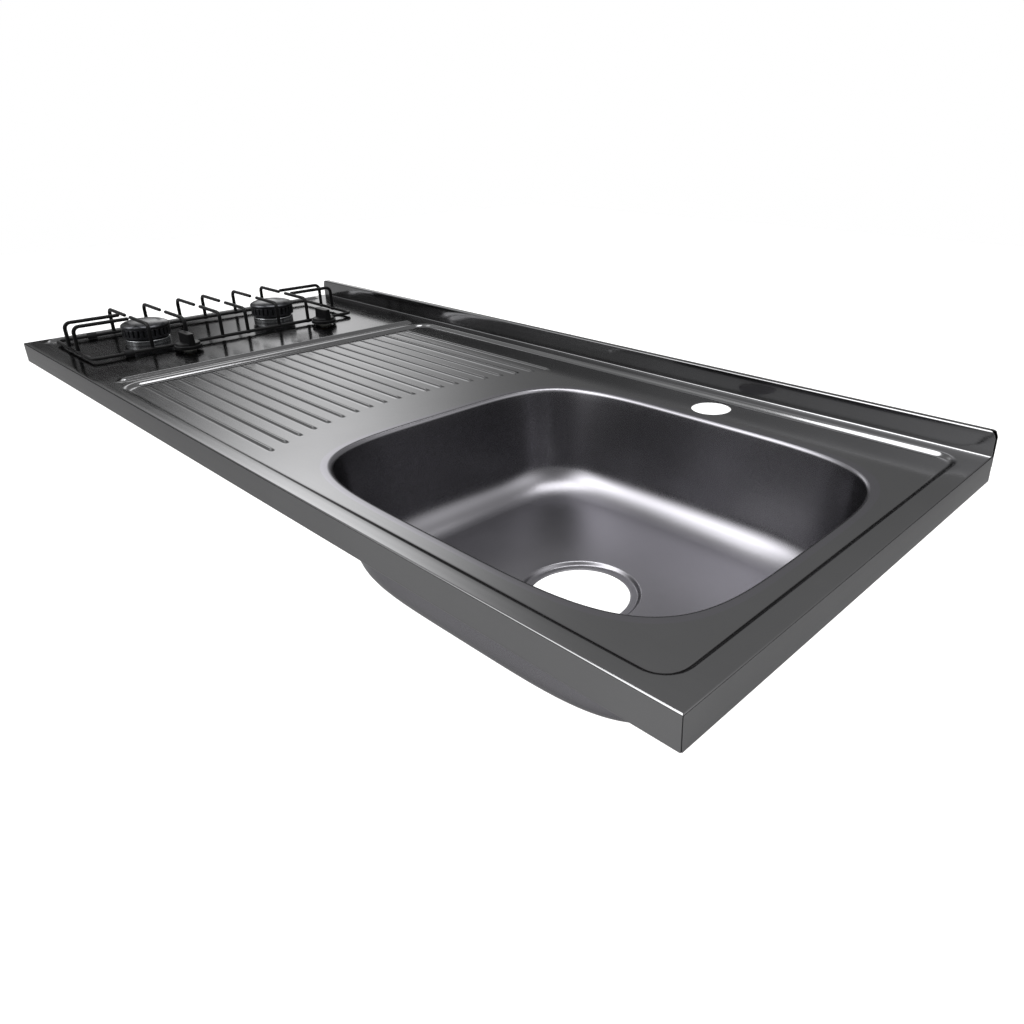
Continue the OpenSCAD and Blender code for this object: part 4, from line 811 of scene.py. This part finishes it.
wires = []
for x, inwards in zip(RACK_X, (1, -1)):
    base_wire = rounded_route([(BURNER_X, RACK_Y[0], BASE_Z), (x, RACK_Y[0], BASE_Z), (x, RACK_Y[1], BASE_Z),
        (BURNER_X, RACK_Y[1], BASE_Z)], WIRE_BEND)
    wires.append(swept(base_wire, WIRE_R))
    tip = BURNER_X - inwards * FINGER_GAP
    for offset in FINGER_Y:
        y = RACK_MID_Y + offset
        finger = rounded_route([(x, y, BASE_Z), (x, y, RACK_Z), (tip, y, RACK_Z)], WIRE_BEND)
        wires.append(swept(finger, WIRE_R, up=(0, 1, 0.02), round_ends=True))
        wires.append(weld_bead((x, y, BASE_Z), (0, 1, 0)))
for side in (-1, 1):
    x = BURNER_X + side * END_WIRE_X
    for y, inwards in zip(RACK_Y, (1, -1)):
        tip = y + inwards * END_WIRE_LENGTH
        end_wire = rounded_route([(x, y, BASE_Z), (x, y, RACK_Z), (x, tip, RACK_Z)], WIRE_BEND)
        wires.append(swept(end_wire, WIRE_R, up=(1, 0, 0.02), round_ends=True))
        wires.append(weld_bead((x, y, BASE_Z), (1, 0, 0)))
make_piece("wire_rack", "pan_support", wires, black_enamel, ["pan_support"])
sleeves = []
for x in RACK_X:
    for offset in SLEEVE_AT_Y:
        middle = np.array([x, RACK_MID_Y + offset, BASE_Z])
        sleeve = middle + np.array(SLEEVE_ALONG)[:, None] * np.array([0, 1.0, 0])
        sleeves.append(swept(sleeve, np.array(SLEEVE_RADII), SLEEVE_SIDES))
make_piece("rubber_sleeves", "pan_support", sleeves, rubber, ["pan_support_feet"])

# Studio floor: pale paint, as far below as a room's floor is from a worktop. To the camera
# it glows to white, and in what the steel mirrors it stays a pale grey.
FLOOR_DROP, FLOOR_REACH, FLOOR_GLOW, FLOOR_GLOW_SEEN = 0.87, 9.0, 0.06, 0.72
floor_mesh = bpy.data.meshes.new("studio_floor")
floor_mesh.from_pydata([(-FLOOR_REACH, -FLOOR_REACH, -FLOOR_DROP), (FLOOR_REACH, -FLOOR_REACH, -FLOOR_DROP),
    (FLOOR_REACH, FLOOR_REACH, -FLOOR_DROP), (-FLOOR_REACH, FLOOR_REACH, -FLOOR_DROP)], [], [(0, 1, 2, 3)])
floor_paint, floor_tree, floor_shader = new_material("pale_floor_paint", Base_Color=hex_colour("#ACACAC"),
    Roughness=0.9, Emission_Color=(1, 1, 1, 1))
floor_rays = add_node(floor_tree, "ShaderNodeLightPath")
floor_glow = remapped(floor_tree, floor_rays.outputs["Is Camera Ray"], 0.0, 1.0, FLOOR_GLOW, FLOOR_GLOW_SEEN)
floor_tree.links.new(floor_glow, floor_shader.inputs["Emission Strength"])
floor_mesh.materials.append(floor_paint)
floor = bpy.data.objects.new("studio_floor", floor_mesh)
bpy.context.scene.collection.objects.link(floor)

# Studio surround: white to the camera. What the steel mirrors is a pale dome above a darker
# horizon, with soft glows that put its highlights where the photograph shows them.
SURROUND, HORIZON, DARKEST = 0.48, 0.1, 0.03
HORIZON_HEIGHT = (0.185, 0.245)
# Each glow: (azimuth, elevation) and spread in degrees, and its strength
GLOWS = (((157, 26), 7.4, 3.7), ((151, 12), 5.0, 1.8), ((160.5, 15), 4.5, -1.4), ((-120, 46), 13.0, 9.5),
    ((-99, 19), 9.0, 2.2), ((22, 43), 14.0, 2.0), ((168, 6), 14.0, -0.2))
world = bpy.data.worlds.new("studio_white")
bpy.context.scene.world = world
world.use_nodes = True
sky = world.node_tree
sky.nodes.clear()
direction = add_node(sky, "ShaderNodeTexCoord")
upwards = add_node(sky, "ShaderNodeSeparateXYZ", links={"Vector": direction.outputs["Generated"]})
dome = add_node(sky, "ShaderNodeMapRange", {"From Min": HORIZON_HEIGHT[0], "From Max": HORIZON_HEIGHT[1],
    "To Min": HORIZON, "To Max": SURROUND}, {"Value": upwards.outputs["Z"]}, interpolation_type="SMOOTHSTEP")
brightness = dome.outputs["Result"]
for (azimuth, elevation), spread, strength in GLOWS:
    a, e = math.radians(azimuth), math.radians(elevation)
    toward = (math.cos(e) * math.cos(a), math.cos(e) * math.sin(a), math.sin(e))
    cosine = add_node(sky, "ShaderNodeVectorMath", {1: toward}, {0: direction.outputs["Generated"]},
        operation="DOT_PRODUCT")
    k = 1 / math.radians(spread) ** 2
    power = add_node(sky, "ShaderNodeMath", {1: k, 2: -k}, {0: cosine.outputs["Value"]},
        operation="MULTIPLY_ADD")
    falloff = add_node(sky, "ShaderNodeMath", links={0: power.outputs["Value"]}, operation="EXPONENT")
    brightness = add_node(sky, "ShaderNodeMath", {1: strength}, {0: falloff.outputs["Value"], 2: brightness},
        operation="MULTIPLY_ADD").outputs["Value"]
lit = add_node(sky, "ShaderNodeMath", {1: DARKEST}, {0: brightness}, operation="MAXIMUM")
sky_rays = add_node(sky, "ShaderNodeLightPath")
seen = combined(sky, "MAXIMUM", sky_rays.outputs["Is Camera Ray"], sky_rays.outputs["Is Transmission Ray"])
level = add_node(sky, "ShaderNodeMix", {"B": 1.0}, {"Factor": seen, "A": lit.outputs["Value"]})
background = add_node(sky, "ShaderNodeBackground", {"Color": (1, 1, 1, 1)},
    {"Strength": level.outputs["Result"]})
add_node(sky, "ShaderNodeOutputWorld", links={"Surface": background.outputs["Background"]})

# Studio lamp: one large soft box overhead, turned towards the drainer.
LAMP_AT, LAMP_TOWARD, LAMP_SIZE, LAMP_WATTS = (0.0, 0.3, 2.1), (0.15, 0.22, 0.0), (1.7, 1.0), 35.0
lamp = bpy.data.lights.new("softbox_overhead", "AREA")
lamp.shape, lamp.energy = "RECTANGLE", LAMP_WATTS
lamp.size, lamp.size_y = LAMP_SIZE
softbox = bpy.data.objects.new("softbox_overhead", lamp)
softbox.location = LAMP_AT
softbox.rotation_euler = (Vector(LAMP_TOWARD) - Vector(LAMP_AT)).to_track_quat("-Z", "Y").to_euler()
bpy.context.scene.collection.objects.link(softbox)
bpy.context.scene.view_settings.view_transform = "Standard"
